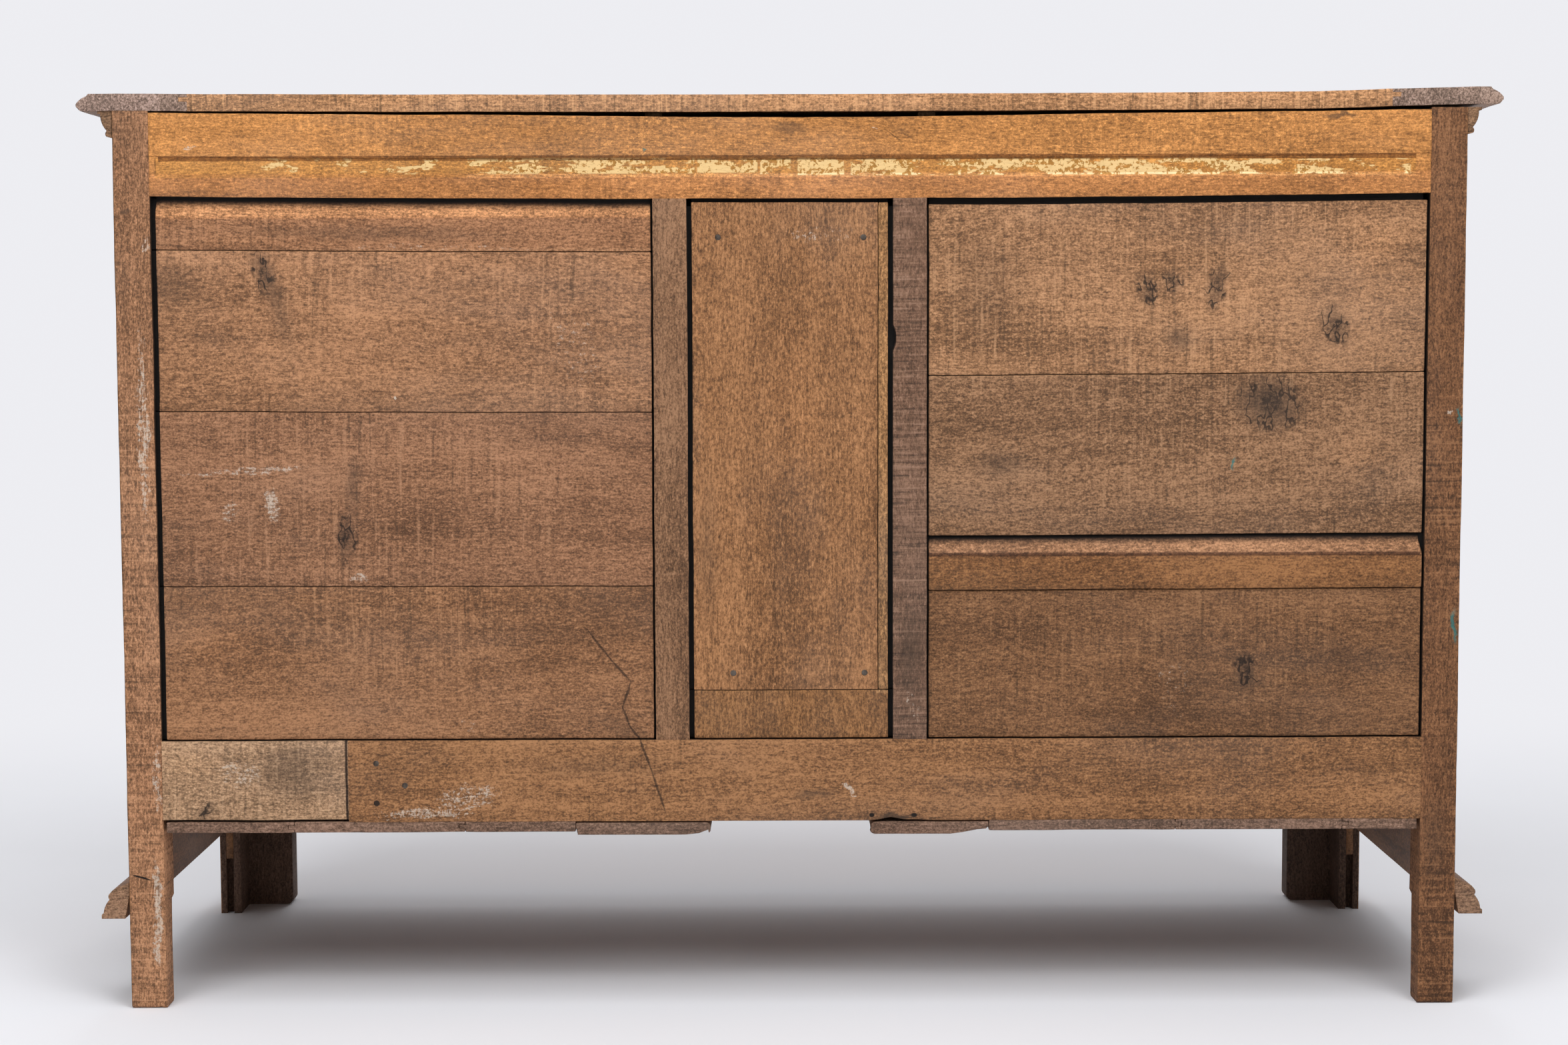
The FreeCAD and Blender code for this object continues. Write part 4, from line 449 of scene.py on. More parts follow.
def wood_layers(shader, grain, seed, saw):
    """The noises of one piece of wood, by name."""
    placed, wavy = grain_point(shader, grain, seed)
    reach = CUT_REACH_SHARE * max(0.0, saw - CUT_USUAL)
    patch_edge = [edge - reach for edge in CUT_PATCH_EDGE]
    patches = shader.step(shader.noise(placed, *CUT_PATCHES), *patch_edge)
    return {
        "rings": shader.noise(wavy, *RINGS),
        "fibres": shader.noise(wavy, *FIBRES),
        "pores": shader.step(shader.noise(wavy, *PORES), *PORE_EDGE),
        "blotches": shader.noise(placed, *BLOTCHES),
        "mottle": shader.noise(wavy, *MOTTLE),
        "grit": shader.noise(placed, *GRIT),
        "greyed": shader.step(shader.noise(placed, *GREYING), *GREYING_EDGE),
        "patches": patches,
        "sawn": shader.times(shader.centred(shader.noise(wavy, *CUTS)), patches),
    }


# Tone of the wood: its mean, each noise's share, and the colours from dark to light
MEAN_TONE = 0.52
TONE_SHARES = {"fibres": 0.62, "blotches": 0.62, "mottle": 1.05, "grit": 1.55}
SAWN_SHARE = 0.45
PORE_SHARE = 0.10
TONE_STOPS = ((0.18, 0.36, 0.06), (0.40, 0.74, 0.04), (0.56, 1.08, 0.03), (0.82, 1.80, -0.02))
USUAL_FIGURE = 0.42


def wood_tone(shader, layers, colour, contrast, saw, figure):
    """The bare wood's colour, from its noises."""
    total = MEAN_TONE
    for layer, layer_share in {"rings": figure, **TONE_SHARES}.items():
        total = shader.plus(shader.times(shader.centred(layers[layer]), layer_share * contrast), total)
    total = shader.plus(shader.times(layers["sawn"], SAWN_SHARE * saw), total)
    total = shader.math("SUBTRACT", total, shader.times(layers["pores"], PORE_SHARE * contrast))
    stops = [(place, tone(colour, tone_share, warm)) for place, tone_share, warm in TONE_STOPS]
    return shader.ramp(total, stops)


# Weathering: grey patches, pale flecks and the ridges and bottoms of the saw cuts
WEATHER_GREY = (0.21, 0.17, 0.145)
WEATHER_GREY_SUM = 0.56
GREY_SHARE = 0.16
FLECK_PATCH_SHARE = 0.06
FLECK_GRIT_SHARE = 0.8
FLECK_EDGE = (1.05, 1.18)
FLECK_SHARE = 0.55
FLECK_TONE = (2.2, -0.08)
SCORED_SHARE = 0.35
RIDGE_EDGE = (0.08, 0.19)
RIDGE_SHARE = 0.36
RIDGE_TONE = (1.9, -0.08)
CUT_EDGE = (-0.09, -0.20)
CUT_SHARE = 0.34
CUT_TONE = (0.35, -0.10)


def weathered(shader, layers, shade, colour, saw, dust):
    """Greys the wood in patches, and picks out dust and saw cuts."""
    grey = tone(WEATHER_GREY, sum(colour) / WEATHER_GREY_SUM)
    shade = shader.mix(shader.times(layers["greyed"], GREY_SHARE), shade, grey)
    flecks = shader.plus(shader.times(layers["patches"], FLECK_PATCH_SHARE), layers["mottle"])
    flecks = shader.plus(flecks, shader.times(layers["grit"], FLECK_GRIT_SHARE))
    pale = shader.step(flecks, *FLECK_EDGE)
    shade = shader.mix(shader.times(pale, FLECK_SHARE * dust), shade, tone(colour, *FLECK_TONE))
    scored = shader.plus(layers["sawn"], shader.times(shader.centred(layers["mottle"]), SCORED_SHARE))
    ridges = shader.step(scored, *RIDGE_EDGE, 0.0, RIDGE_SHARE * saw)
    shade = shader.mix(ridges, shade, tone(colour, *RIDGE_TONE))
    bottoms = shader.step(scored, *CUT_EDGE, 0.0, CUT_SHARE * saw)
    return shader.mix(bottoms, shade, tone(colour, *CUT_TONE))


# Relief of the wood: each noise's share, and its height
RELIEF_SHARES = {"fibres": 0.6, "grit": 0.5, "mottle": 0.8}
RELIEF_SAWN_SHARE = 1.6
RELIEF_PORE_SHARE = 0.4
RELIEF_STRENGTH = 0.8
ROUGH_RELIEF = 1.1 * MM
PLANED_RELIEF = 0.3 * MM


def wood_relief(shader, layers, saw, dust):
    height = 0.0
    for layer, layer_share in RELIEF_SHARES.items():
        height = shader.plus(shader.times(layers[layer], layer_share), height)
    height = shader.plus(height, shader.times(layers["sawn"], RELIEF_SAWN_SHARE * saw))
    height = shader.math("SUBTRACT", height, shader.times(layers["pores"], RELIEF_PORE_SHARE))
    shader.bump(height, RELIEF_STRENGTH, ROUGH_RELIEF if dust else PLANED_RELIEF)


ROUGHNESS_EDGE = (0.2, 0.8)
WOOD_ROUGHNESS = (0.86, 0.70)
WOOD_SPECULAR = 0.32


def oak(
    name, colour, grain, seed, saw, contrast,
    marks=(), gloss=0.0, dust=1.0, shade_gaps=False, figure=USUAL_FIGURE, finish=None,
):
    """Aged oak: rings, fibres and pores along the grain, saw marks across it, greying and dust, shade
    painted into the back's gaps, and its own marks.
    """
    shader = Shader(name)
    layers = wood_layers(shader, grain, seed, saw)
    shade = wood_tone(shader, layers, colour, contrast, saw, figure)
    shade = weathered(shader, layers, shade, colour, saw, dust)
    if marks:
        shade = painted_marks(shader, shade, marks, layers["fibres"])
    # painted shade in the back's gaps and grooves
    if shade_gaps:
        shade = painted_shade_in_gaps(shader, shade)
    glossier = [edge - gloss for edge in WOOD_ROUGHNESS]
    roughness = shader.step(layers["blotches"], *ROUGHNESS_EDGE, *glossier)
    if finish:
        covered = finished_faces(shader, finish)
        tint = [front / raw for front, raw in zip(FRONT_COLOUR, colour)] + [1.0]
        shade = shader.mix(covered, shade, tint, "MULTIPLY")
        roughness = shader.math("SUBTRACT", roughness, shader.times(covered, FRONT_GLOSS))
    shader.put(shader.surface.inputs["Base Color"], shade)
    shader.put(shader.surface.inputs["Roughness"], roughness)
    shader.surface.inputs["Specular IOR Level"].default_value = WOOD_SPECULAR
    wood_relief(shader, layers, saw, dust)
    return shader.material


# Noises of metal, and where its tarnish and its dullness start and are full
TARNISH = ((38.0, 38.0, 38.0), 5.0, 0.65)
TARNISH_EDGE = (0.50, 0.78)
PITS = ((600.0, 600.0, 600.0), 3.0, 0.7)
PIT_SHARE = 0.3
DULL_EDGE = (0.3, 0.7)
DULLER = 0.18
PIT_STRENGTH = 0.35
PIT_RELIEF = 0.2 * MM


def metal(name, colour, tarnish, roughness, metallic):
    """Old metal: two tones, pitting and uneven gloss."""
    shader = Shader(name)
    cloud = shader.noise(shader.point, *TARNISH)
    pits = shader.noise(shader.point, *PITS)
    worn = shader.step(shader.plus(cloud, shader.times(pits, PIT_SHARE)), *TARNISH_EDGE)
    duller = shader.step(cloud, *DULL_EDGE, roughness + DULLER, roughness)
    shader.put(shader.surface.inputs["Base Color"], shader.mix(worn, tarnish, colour))
    shader.put(shader.surface.inputs["Roughness"], duller)
    shader.surface.inputs["Metallic"].default_value = metallic
    shader.bump(pits, PIT_STRENGTH, PIT_RELIEF)
    return shader.material


# What the photograph shows on each piece, at its pixels
MARKS = {
    "back_top_rail": [
        band(100, 262, 2260, 300, (0.93, 0.9, 1.0)),
        band(232, 237, 2124, 262, (1.04, 1.05, 0.86)),
        glue(384, 238, 700, 261, 0.05),
        glue(700, 238, 1042, 260, 0.7),
        glue(1046, 238, 1136, 259, 1.0),
        glue(1140, 238, 1186, 261, 1.1),
        glue(1196, 237, 1266, 262, 1.5),
        glue(1276, 238, 1830, 261, 1.1),
        glue(1830, 238, 2116, 260, 0.4),
        # painted shadow under the trench's upper edge
        band(236, 235.0, 2124, 236.8, (0.45, 0.38, 0.32), 0.5 * MM),
        # painted highlight along the trench's lower edge
        band(700, 261.2, 2124, 262.8, (1.3, 1.4, 1.7), 0.4 * MM),
        band(231.5, 237, 233, 262, (0.2, 0.16, 0.12)),
        spot("teal", 964, 222, 2, 6, deep=SHALLOW),
        spot("smear", 285, 219, 22, 6, turn=12, deep=SHALLOW, strength=0.9),
        spot("smear", 1312, 190, 14, 3, turn=-22, deep=SHALLOW, strength=0.9),
        spot("line", 1340, 203, 22, 1.2, turn=-35, core=0.1, strength=0.7),
        spot("stain", 1355, 198, 40, 9, turn=-30, core=0.0, strength=0.5),
        spot("stain", 2010, 172, 36, 5),
        spot("stain", 1185, 192, 34, 12, strength=0.9),
        spot("stain", 290, 288, 40, 4, core=0.0, strength=0.7),
        spot("line", 1036, 301, 2, 2, core=0.5),
        spot("stain", 1370, 283, 6, 5, strength=0.6),
    ],
    "back_board_right_1": [
        # painted highlight on the upward slope of the board's bevel, and a darker tone on the flat below
        # it
        band(226, 290, 1042, 326, (1.42, 1.36, 1.22), 2.0 * MM),
        band(226, 326, 1042, 372, (0.8, 0.76, 0.74), 2.0 * MM),
        spot("stain", 560, 350, 330, 16, turn=-1, core=0.1, strength=0.6),
        spot("smear", 640, 372, 320, 6, deep=MIDDLING, strength=0.5),
    ],
    "back_board_right_2": [
        spot("knot", 393, 408, 17, 32, turn=18),
        spot("stain", 415, 455, 26, 95, turn=14, core=0.0, strength=0.8),
        spot("smear", 594, 598, 4, 4, deep=MIDDLING, strength=2.2),
        spot("smear", 860, 520, 70, 110, turn=8, deep=MIDDLING, strength=0.45),
        spot("stain", 255, 430, 70, 46, core=0.0, strength=0.6),
    ],
    "back_board_right_3": [
        spot("knot", 519, 806, 15, 36, turn=-8),
        spot("stain", 528, 730, 20, 60, turn=-6, core=0.0, strength=0.8),
        spot("smear", 375, 706, 150, 7, turn=4, deep=MIDDLING, strength=0.8),
        spot("smear", 408, 760, 18, 40, turn=8, deep=MIDDLING, strength=0.9),
        spot("smear", 345, 770, 22, 26, turn=-14, deep=MIDDLING, strength=0.7),
        spot("smear", 537, 868, 26, 12, deep=MIDDLING, strength=0.9),
        spot("teal", 311, 785, 3, 13, deep=SHALLOW),
    ],
    "back_board_right_4": [
        spot("stain", 940, 1100, 60, 26, turn=-20, core=0.0, strength=0.6),
        spot("smear", 700, 1090, 26, 20, deep=MIDDLING, strength=0.5),
        spot("light", 330, 960, 120, 90, core=0.0, strength=0.35),
    ],
    "back_board_left_1": [
        spot("knot", 1721, 435, 17, 24, turn=10),
        spot("knot", 1758, 423, 15, 16),
        spot("knot", 1826, 429, 14, 36, turn=-16),
        spot("knot", 2005, 488, 18, 30, turn=22),
        spot("stain", 1768, 508, 28, 26, turn=-30, core=0.0),
        spot("stain", 1480, 440, 90, 130, core=0.0, strength=0.45),
        spot("light", 2060, 400, 90, 120, core=0.0, strength=0.3),
    ],
    "back_board_left_2": [
        spot("knot", 1905, 606, 46, 40, turn=-24),
        spot("stain", 1905, 606, 84, 52, core=0.0, strength=0.7),
        spot("stain", 1500, 694, 60, 30, core=0.0, strength=0.8),
        spot("knot", 2070, 706, 30, 44, turn=-16, strength=0.35),
        spot("light", 2060, 690, 90, 60, turn=-20, core=0.0, strength=0.5),
        spot("teal", 1852, 693, 3, 16, deep=SHALLOW),
    ],
    "back_board_left_3": [
        # painted highlight on the upward slope of the board's bevel, a dark line where the bevel meets
        # the flat, and a darker flat below
        band(1390, 790, 2130, 830, (1.34, 1.4, 1.62), 3.0 * MM),
        band(1390, 830, 2130, 833, (0.35, 0.3, 0.28)),
        band(1390, 833, 2130, 882, (0.84, 0.77, 0.64)),
    ],
    "back_board_left_4": [
        spot("knot", 1870, 1011, 20, 30, turn=8),
        spot("smear", 1760, 1030, 50, 70, turn=10, deep=MIDDLING, strength=0.45),
    ],
    "back_bottom_rail": [
        band(517, 1100, 523, 1240, (0.1, 0.08, 0.07), 0.8 * MM),
        spot("stain", 1220, 1192, 52, 13, turn=8, core=0.0, strength=1.0),
        spot("smear", 700, 1198, 80, 34, turn=10, deep=MIDDLING, strength=0.75),
        spot("smear", 640, 1222, 110, 14, deep=MIDDLING, strength=0.85),
        spot("smear", 1274, 1186, 7, 20, turn=30, deep=MIDDLING, strength=1.0),
        spot("stain", 900, 1150, 180, 24, core=0.0, strength=0.45),
        spot("line", 1308, 1223, 5, 4, core=0.6),
        spot("line", 1371, 1223, 6, 4, core=0.6),
        spot("stain", 1340, 1228, 36, 9, strength=1.3),
    ],
    "back_rail_splice": [
        band(517, 1100, 523, 1240, (0.1, 0.08, 0.07), 0.8 * MM),
        spot("stain", 440, 1160, 84, 64, core=0.0, strength=0.75),
        spot("light", 290, 1150, 70, 40, core=0.0, strength=0.3),
        spot("smear", 360, 1160, 60, 34, deep=MIDDLING, strength=0.7),
        spot("knot", 308, 1214, 16, 10, turn=30),
    ],
    "rear_post_right": [
        spot("smear", 218, 370, 9, 26, deep=MIDDLING, strength=0.9),
        spot("smear", 214, 650, 16, 240, deep=MIDDLING, strength=0.8),
        spot("smear", 236, 1170, 10, 90, deep=MIDDLING, strength=0.8),
        spot("smear", 236, 1370, 10, 140, deep=DEEP, strength=1.0),
        spot("stain", 186, 318, 14, 7),
        spot("stain", 190, 200, 60, 60, core=0.0, strength=0.35),
        spot("line", 213, 1317, 21, 2.0, turn=-16, core=0.5),
    ],
    "rear_post_left": [
        spot("teal", 2182, 940, 5, 34, deep=MIDDLING),
        spot("teal", 2188, 625, 3, 20, deep=MIDDLING),
        spot("smear", 2176, 620, 10, 5, deep=MIDDLING, strength=1.0),
        spot("stain", 2150, 1260, 34, 90, core=0.0, strength=0.6),
        spot("line", 2136, 299, 2, 2, core=0.5),
    ],
    "back_muntin_left": [
        spot("stain", 1365, 980, 30, 90, core=0.0, strength=1.0),
        spot("smear", 1370, 1060, 18, 40, deep=MIDDLING, strength=0.5),
    ],
    "top_end_boards": [
        band(90, 135, 240, 185, (1.17, 1.19, 1.25)),
    ],
    "back_centre_patches": [
        band(1314, 280, 1342, 1040, (1.42, 1.55, 1.65)),
    ],
    "back_centre_board": [
        spot("smear", 1230, 350, 90, 22, deep=MIDDLING, strength=0.55),
        spot("stain", 1060, 820, 26, 170, core=0.0, strength=0.6),
        spot("light", 1190, 620, 70, 190, core=0.0, strength=0.25),
    ],
}

# The dark run of liquid down the fourth plank and the rail, as short straight pieces between pixels
DRIP = [
    (882, 947), (916, 990), (946, 1023), (934, 1062),
    (945, 1090), (960, 1110), (978, 1157), (998, 1218),
]
DRIP_HALF_WIDE = 2.4
DRIP_OVERLAP_SHARE = 0.72


def drip_marks():
    made = []
    for (x0, y0), (x1, y1) in zip(DRIP, DRIP[1:]):
        half = math.hypot(x1 - x0, y1 - y0) * DRIP_OVERLAP_SHARE
        turn = -math.degrees(math.atan2(y1 - y0, x1 - x0))
        middle = ((x0 + x1) / 2, (y0 + y1) / 2)
        made.append(spot("line", *middle, half, DRIP_HALF_WIDE, turn=turn, core=0.5, strength=0.70))
    return made


for plank in ("back_board_right_4", "back_bottom_rail"):
    MARKS[plank] += drip_marks()

# Colour, grain, saw marks and contrast of the pieces that the photograph shows
SEEN_OAK = {
    "back_top_rail": ((0.470, 0.205, 0.058), "x", 0.5, 0.75),
    "back_bottom_rail": ((0.245, 0.116, 0.048), "x", 0.9, 1.1),
    "back_rail_splice": ((0.355, 0.215, 0.121), "x", 0.7, 1.0),
    "rear_post_right": ((0.325, 0.160, 0.080), "z", 1.4, 1.0),
    "rear_post_left": ((0.175, 0.078, 0.033), "z", 1.6, 1.0),
    "back_muntin_right": ((0.205, 0.106, 0.054), "z", 0.9, 1.0),
    "back_muntin_left": ((0.180, 0.098, 0.060), "z", 1.9, 0.7),
    "back_board_right_1": ((0.345, 0.170, 0.082), "x", 0.7, 1.0),
    "back_board_right_2": ((0.305, 0.150, 0.072), "x", 1.0, 1.0),
    "back_board_right_3": ((0.255, 0.124, 0.063), "x", 0.9, 1.0),
    "back_board_right_4": ((0.260, 0.125, 0.058), "x", 1.0, 1.0),
    "back_board_left_1": ((0.310, 0.159, 0.076), "x", 1.0, 1.0),
    "back_board_left_2": ((0.240, 0.126, 0.063), "x", 1.1, 1.1),
    "back_board_left_3": ((0.260, 0.125, 0.054), "x", 0.4, 1.0),
    "back_board_left_4": ((0.196, 0.094, 0.041), "x", 0.8, 1.0),
    "back_centre_board": ((0.275, 0.129, 0.053), "z", 0.4, 1.0),
    "back_centre_patches": ((0.240, 0.112, 0.042), "z", 0.5, 1.0),
    "top_boards": ((0.400, 0.202, 0.090), "x", 1.5, 0.9),
    "top_end_boards": ((0.275, 0.185, 0.142), "y", 1.0, 1.2),
    "cornice_moulding": ((0.200, 0.112, 0.060), "x", 0.2, 1.0),
    "base_moulding": ((0.235, 0.135, 0.080), "x", 0.2, 1.0),
    # the front posts' colours are painted shade: darkened for their shaded inner faces, which the outside
    # finish leaves uncovered
    "front_post_left": ((0.084, 0.048, 0.032), "z", 0.4, 1.0),
    "front_post_right": ((0.105, 0.060, 0.040), "z", 0.4, 1.0),
    "floor_boards": ((0.200, 0.118, 0.080), "x", 0.9, 1.0),
}
SEEN_CONTRAST = 1.22

# Colour, saw marks, contrast, gloss, dust and figure of the oak that it doesn't show
SHARED_OAK = {
    "oak_inside": ((0.300, 0.175, 0.092), 0.5, 0.8, 0.0, 0.3, USUAL_FIGURE),
    "oak_peg": ((0.200, 0.105, 0.055), 0.2, 1.0, 0.0, 1.0, USUAL_FIGURE),
}
PLANED_OAK = (FRONT_COLOUR, 0.0, 0.85, FRONT_GLOSS, 0.0, 1.1)

# Which faces of those pieces are waxed
FINISHES = {
    "top_boards": "all but rear",
    "top_end_boards": "all but rear",
    "cornice_moulding": "all but rear",
    "base_moulding": "all but rear",
    # on the front posts only the outside is waxed; the inner faces keep the dark colour, which is painted
    # shade
    "front_post_left": "outside",
    "front_post_right": "outside",
    "rear_post_left": "outside",
    "rear_post_right": "outside",
}

# Colour, tarnish, roughness and metallic share
METALS = {
    "iron": ((0.150, 0.125, 0.105, 1.0), (0.050, 0.034, 0.026, 1.0), 0.55, 0.80),
    "steel_bolt": ((0.42, 0.41, 0.39, 1.0), (0.16, 0.12, 0.09, 1.0), 0.36, 1.0),
    "aged_brass": ((0.62, 0.41, 0.16, 1.0), (0.20, 0.12, 0.045, 1.0), 0.30, 1.0),
}

SLOTS = {part["node"]: part["material_slot"] for part in frame["record"]["subparts"]}
BODIES = {
    node: body
    for body, nodes in frame["record"]["behaviour"]["bodies"].items()
    for node in nodes
}


def seed_of(title):
    return sum(ord(letter) for letter in title)


def seen_oak(name):
    """The oak of one piece that the photograph shows, with its own marks."""
    colour, grain, saw, contrast = SEEN_OAK[name]
    shade_gaps = name.startswith(("back_", "rear_"))
    return oak(
        name + "_oak", colour, grain, seed_of(name), saw, contrast * SEEN_CONTRAST,
        MARKS.get(name, ()), shade_gaps=shade_gaps, finish=FINISHES.get(name),
    )


def shared_oak(slot, grain):
    """The oak of the pieces of one slot and grain that the photograph doesn't show."""
    title = slot + "_" + grain
    colour, saw, contrast, gloss, dust, figure = SHARED_OAK.get(slot, PLANED_OAK)
    if slot == "oak_peg":
        grain = "y"
    return oak(title, colour, grain, seed_of(title), saw, contrast, gloss=gloss, dust=dust, figure=figure)


def grain_of(name):
    """Doors' and sides' frames take each part's own grain, other pieces one grain."""
    if name.endswith("_frame"):
        return "door"
    if name.startswith("side_"):
        return "side"
    return "z" if "muntin" in name or "panel" in name or "partition" in name else "x"


MADE = {}


def material_of(name):
    """The material of a node: its own if the photograph shows the piece, or one that it shares."""
    slot = SLOTS[name]
    if name in SEEN_OAK:
        return seen_oak(name)
    if slot in METALS:
        if slot not in MADE:
            MADE[slot] = metal(slot, *METALS[slot])
        return MADE[slot]
    key = (slot, grain_of(name))
    if key not in MADE:
        MADE[key] = shared_oak(*key)
    return MADE[key]


# Wear and sag of the pieces

# Sag of the framed back, in the middle and at the ends, and the heights where it starts and is full
SAG = 5.3 * MM
SAG_ENDS = -2.0 * MM
SAG_HALF = 0.80
SAG_FROM = 0.30
SAG_FULL = 1.00

# Hollow in the upper rail's upper edge
DIP = 2.6 * MM
DIP_MIDDLE = on_back(1230, 168).x
DIP_HALF = 0.42
DIP_FROM = 1.045
DIP_FULL = 1.075

# The boards' raised fields reach further than they are packed, at the upper rail and at one post
BOARD_FACE = REAR - 6.0 * MM
BOARD_RISE = 4.0 * MM
BOARD_RISE_FROM = 0.945
BOARD_RISE_FULL = 0.966
BOARD_REACH = 3.0 * MM
BOARD_END_FROM = -0.740
BOARD_END_FULL = -0.750

# The top's rear edge
TOP_SAG = 2.8 * MM
END_LIFT = 4.0 * MM
LIFT_FROM = -0.60
LIFT_FULL = -0.84


def share(value, low, high):
    """0 at low, 1 at high, smooth between."""
    part = min(1.0, max(0.0, (value - low) / (high - low)))
    return part * part * (3 - 2 * part)


def middleness(x):
    """1 in the middle of the back, 0 at its ends, along a parabola."""
    return max(0.0, 1.0 - (x / SAG_HALF) ** 2)


def hang(vertex):
    """The framed back hangs down a little in the middle, less towards its foot."""
    up = min(1.0, max(0.0, (vertex.co.z - SAG_FROM) / (SAG_FULL - SAG_FROM)))
    vertex.co.z -= (SAG_ENDS + SAG * middleness(vertex.co.x)) * up


def hang_rail(vertex):
    """The upper rail's upper edge doesn't rise at the ends and has a hollow."""
    edge = share(vertex.co.z, DIP_FROM, DIP_FULL)
    away = share(abs(vertex.co.x - DIP_MIDDLE), DIP_HALF, 0.0)
    hang(vertex)
    vertex.co.z -= edge * (DIP * away - SAG_ENDS)


def hang_board(vertex):
    """A board's field reaches closer to the upper rail, and on one side closer to the post."""
    if vertex.co.y > BOARD_FACE:
        vertex.co.z += BOARD_RISE * share(vertex.co.z, BOARD_RISE_FROM, BOARD_RISE_FULL)
        vertex.co.x -= BOARD_REACH * share(vertex.co.x, BOARD_END_FROM, BOARD_END_FULL)
    hang(vertex)


def hang_top(vertex):
    """The rear edge of the top hangs in the middle and lifts at one end."""
    back = share(vertex.co.y, FACE, REAR)
    lift = END_LIFT * share(vertex.co.x, LIFT_FROM, LIFT_FULL)
    vertex.co.z += back * (lift - TOP_SAG * middleness(vertex.co.x))


# The worm-eaten length of the lower rail
WORN_FROM = on_back(1303, 1230).x
WORN_TO = on_back(1385, 1230).x
WORN_HIGH = 0.231
WORN_DEPTH = 7.0 * MM
WORN_SCALE = 95.0

# The ends of the two runner boards
RUNNER_REAR = REAR - 50.0 * MM
RUNNER_LOW = 0.2135
RUNNER_HALF = 0.265
SPLIT_RISE = 6.0 * MM
SPLIT_FROM = on_back(1425, 1250).x
SPLIT_FULL = on_back(1478, 1250).x
ROUND_RISE = 5.0 * MM
ROUND_FROM = on_back(1040, 1250).x
ROUND_FULL = on_back(1064, 1250).x
RAGGED = 5.0 * MM


def wear_rail(vertex):
    """Worms have eaten a short length of the lower rail's lower edge."""
    if WORN_TO < vertex.co.x < WORN_FROM and vertex.co.z < WORN_HIGH:
        vertex.co.z += WORN_DEPTH * abs(noise.noise(vertex.co * WORN_SCALE))
    hang(vertex)


def wear_runners(vertex):
    """The two runner boards are split and rounded where they stick out under the back."""
    x, y, z = vertex.co
    if y > RUNNER_REAR and z < RUNNER_LOW and abs(x) < RUNNER_HALF:
        vertex.co.z += SPLIT_RISE * share(x, SPLIT_FROM, SPLIT_FULL)
        if x > 0.0:
            vertex.co.z += ROUND_RISE * share(x, ROUND_FROM, ROUND_FULL)
        vertex.co.x += RAGGED * noise.noise(vertex.co * WORN_SCALE)


def how_shaped(name):
    """The function that moves a piece's points, or None."""
    if name == "back_bottom_rail":
        return wear_rail
    if name == "floor_boards":
        return wear_runners
    if name == "back_top_rail":
        return hang_rail
    if name.startswith("top_"):
        return hang_top
    if name.startswith(("back_board", "back_centre")):
        return hang_board
    if name.startswith("back_") or name in ("pegs", "nails"):
        return hang
    return None


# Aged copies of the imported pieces

MERGE = 0.02 * MM
FLAT = math.radians(1.0)
SHARP = math.radians(32.0)
SMOOTH = math.radians(40.0)
WAVE_SCALE = 11.0
RIPPLE_SCALE = 48.0
RIPPLE_SHARE = 0.6
THROUGH_SHARE = 0.3
NOISE_SEED = 7

# Roundness of the arrises, spacing of the added edges and untrueness of the faces
ROUGH_PIECES = (1.1 * MM, 16 * MM, 0.55 * MM)
FRONT_PIECES = (0.7 * MM, 60 * MM, 0.15 * MM)
INSIDE_PIECES = (0.6 * MM, 90 * MM, 0.25 * MM)
SMALL_PIECES = (0.25 * MM, 0, 0)


def how_aged(name):
    slot = SLOTS[name]
    if slot in METALS or slot == "oak_peg":
        return SMALL_PIECES
    if slot in ("oak_back_frame", "oak_back_boards", "oak_top") or name == "floor_boards":
        return ROUGH_PIECES
    if slot == "oak_inside":
        return INSIDE_PIECES
    return FRONT_PIECES


def cut_across(work, axis, spacing):
    """Adds edges right across the mesh, so that it can bend."""
    places = [vertex.co[axis] for vertex in work.verts]
    low, high = min(places), max(places)
    count = int((high - low) / spacing)
    normal = Vector((0, 0, 0))
    normal[axis] = 1.0
    for number in range(1, count + 1):
        at = Vector((0, 0, 0))
        at[axis] = low + (high - low) * number / (count + 1)
        everything = work.verts[:] + work.edges[:] + work.faces[:]
        bmesh.ops.bisect_plane(work, geom=everything, dist=MERGE, plane_co=at, plane_no=normal)


def worn_arrises(source, bevel):
    """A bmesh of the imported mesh, with its sharp edges rounded."""
    work = bmesh.new()
    work.from_mesh(source)
    bmesh.ops.remove_doubles(work, verts=work.verts, dist=MERGE)
    bmesh.ops.dissolve_limit(work, angle_limit=FLAT, verts=work.verts, edges=work.edges)
    sharp = [
        edge for edge in work.edges
        if len(edge.link_faces) == 2 and edge.calc_face_angle(0.0) > SHARP
    ]
    bmesh.ops.bevel(
        work, geom=sharp, offset=bevel, segments=2, profile=0.5, affect="EDGES", clamp_overlap=True,
    )
    return work


def untrue_faces(work, wave, shape):
    """Moves the points by a slow and a quick wave, and then by the piece's own shape."""
    for vertex in work.verts:
        slow = noise.noise_vector(vertex.co * WAVE_SCALE)
        quick = noise.noise_vector(vertex.co * RIPPLE_SCALE)
        move = (slow + quick * RIPPLE_SHARE) * wave
        move.y *= THROUGH_SHARE
        vertex.co += move
        if shape:
            shape(vertex)


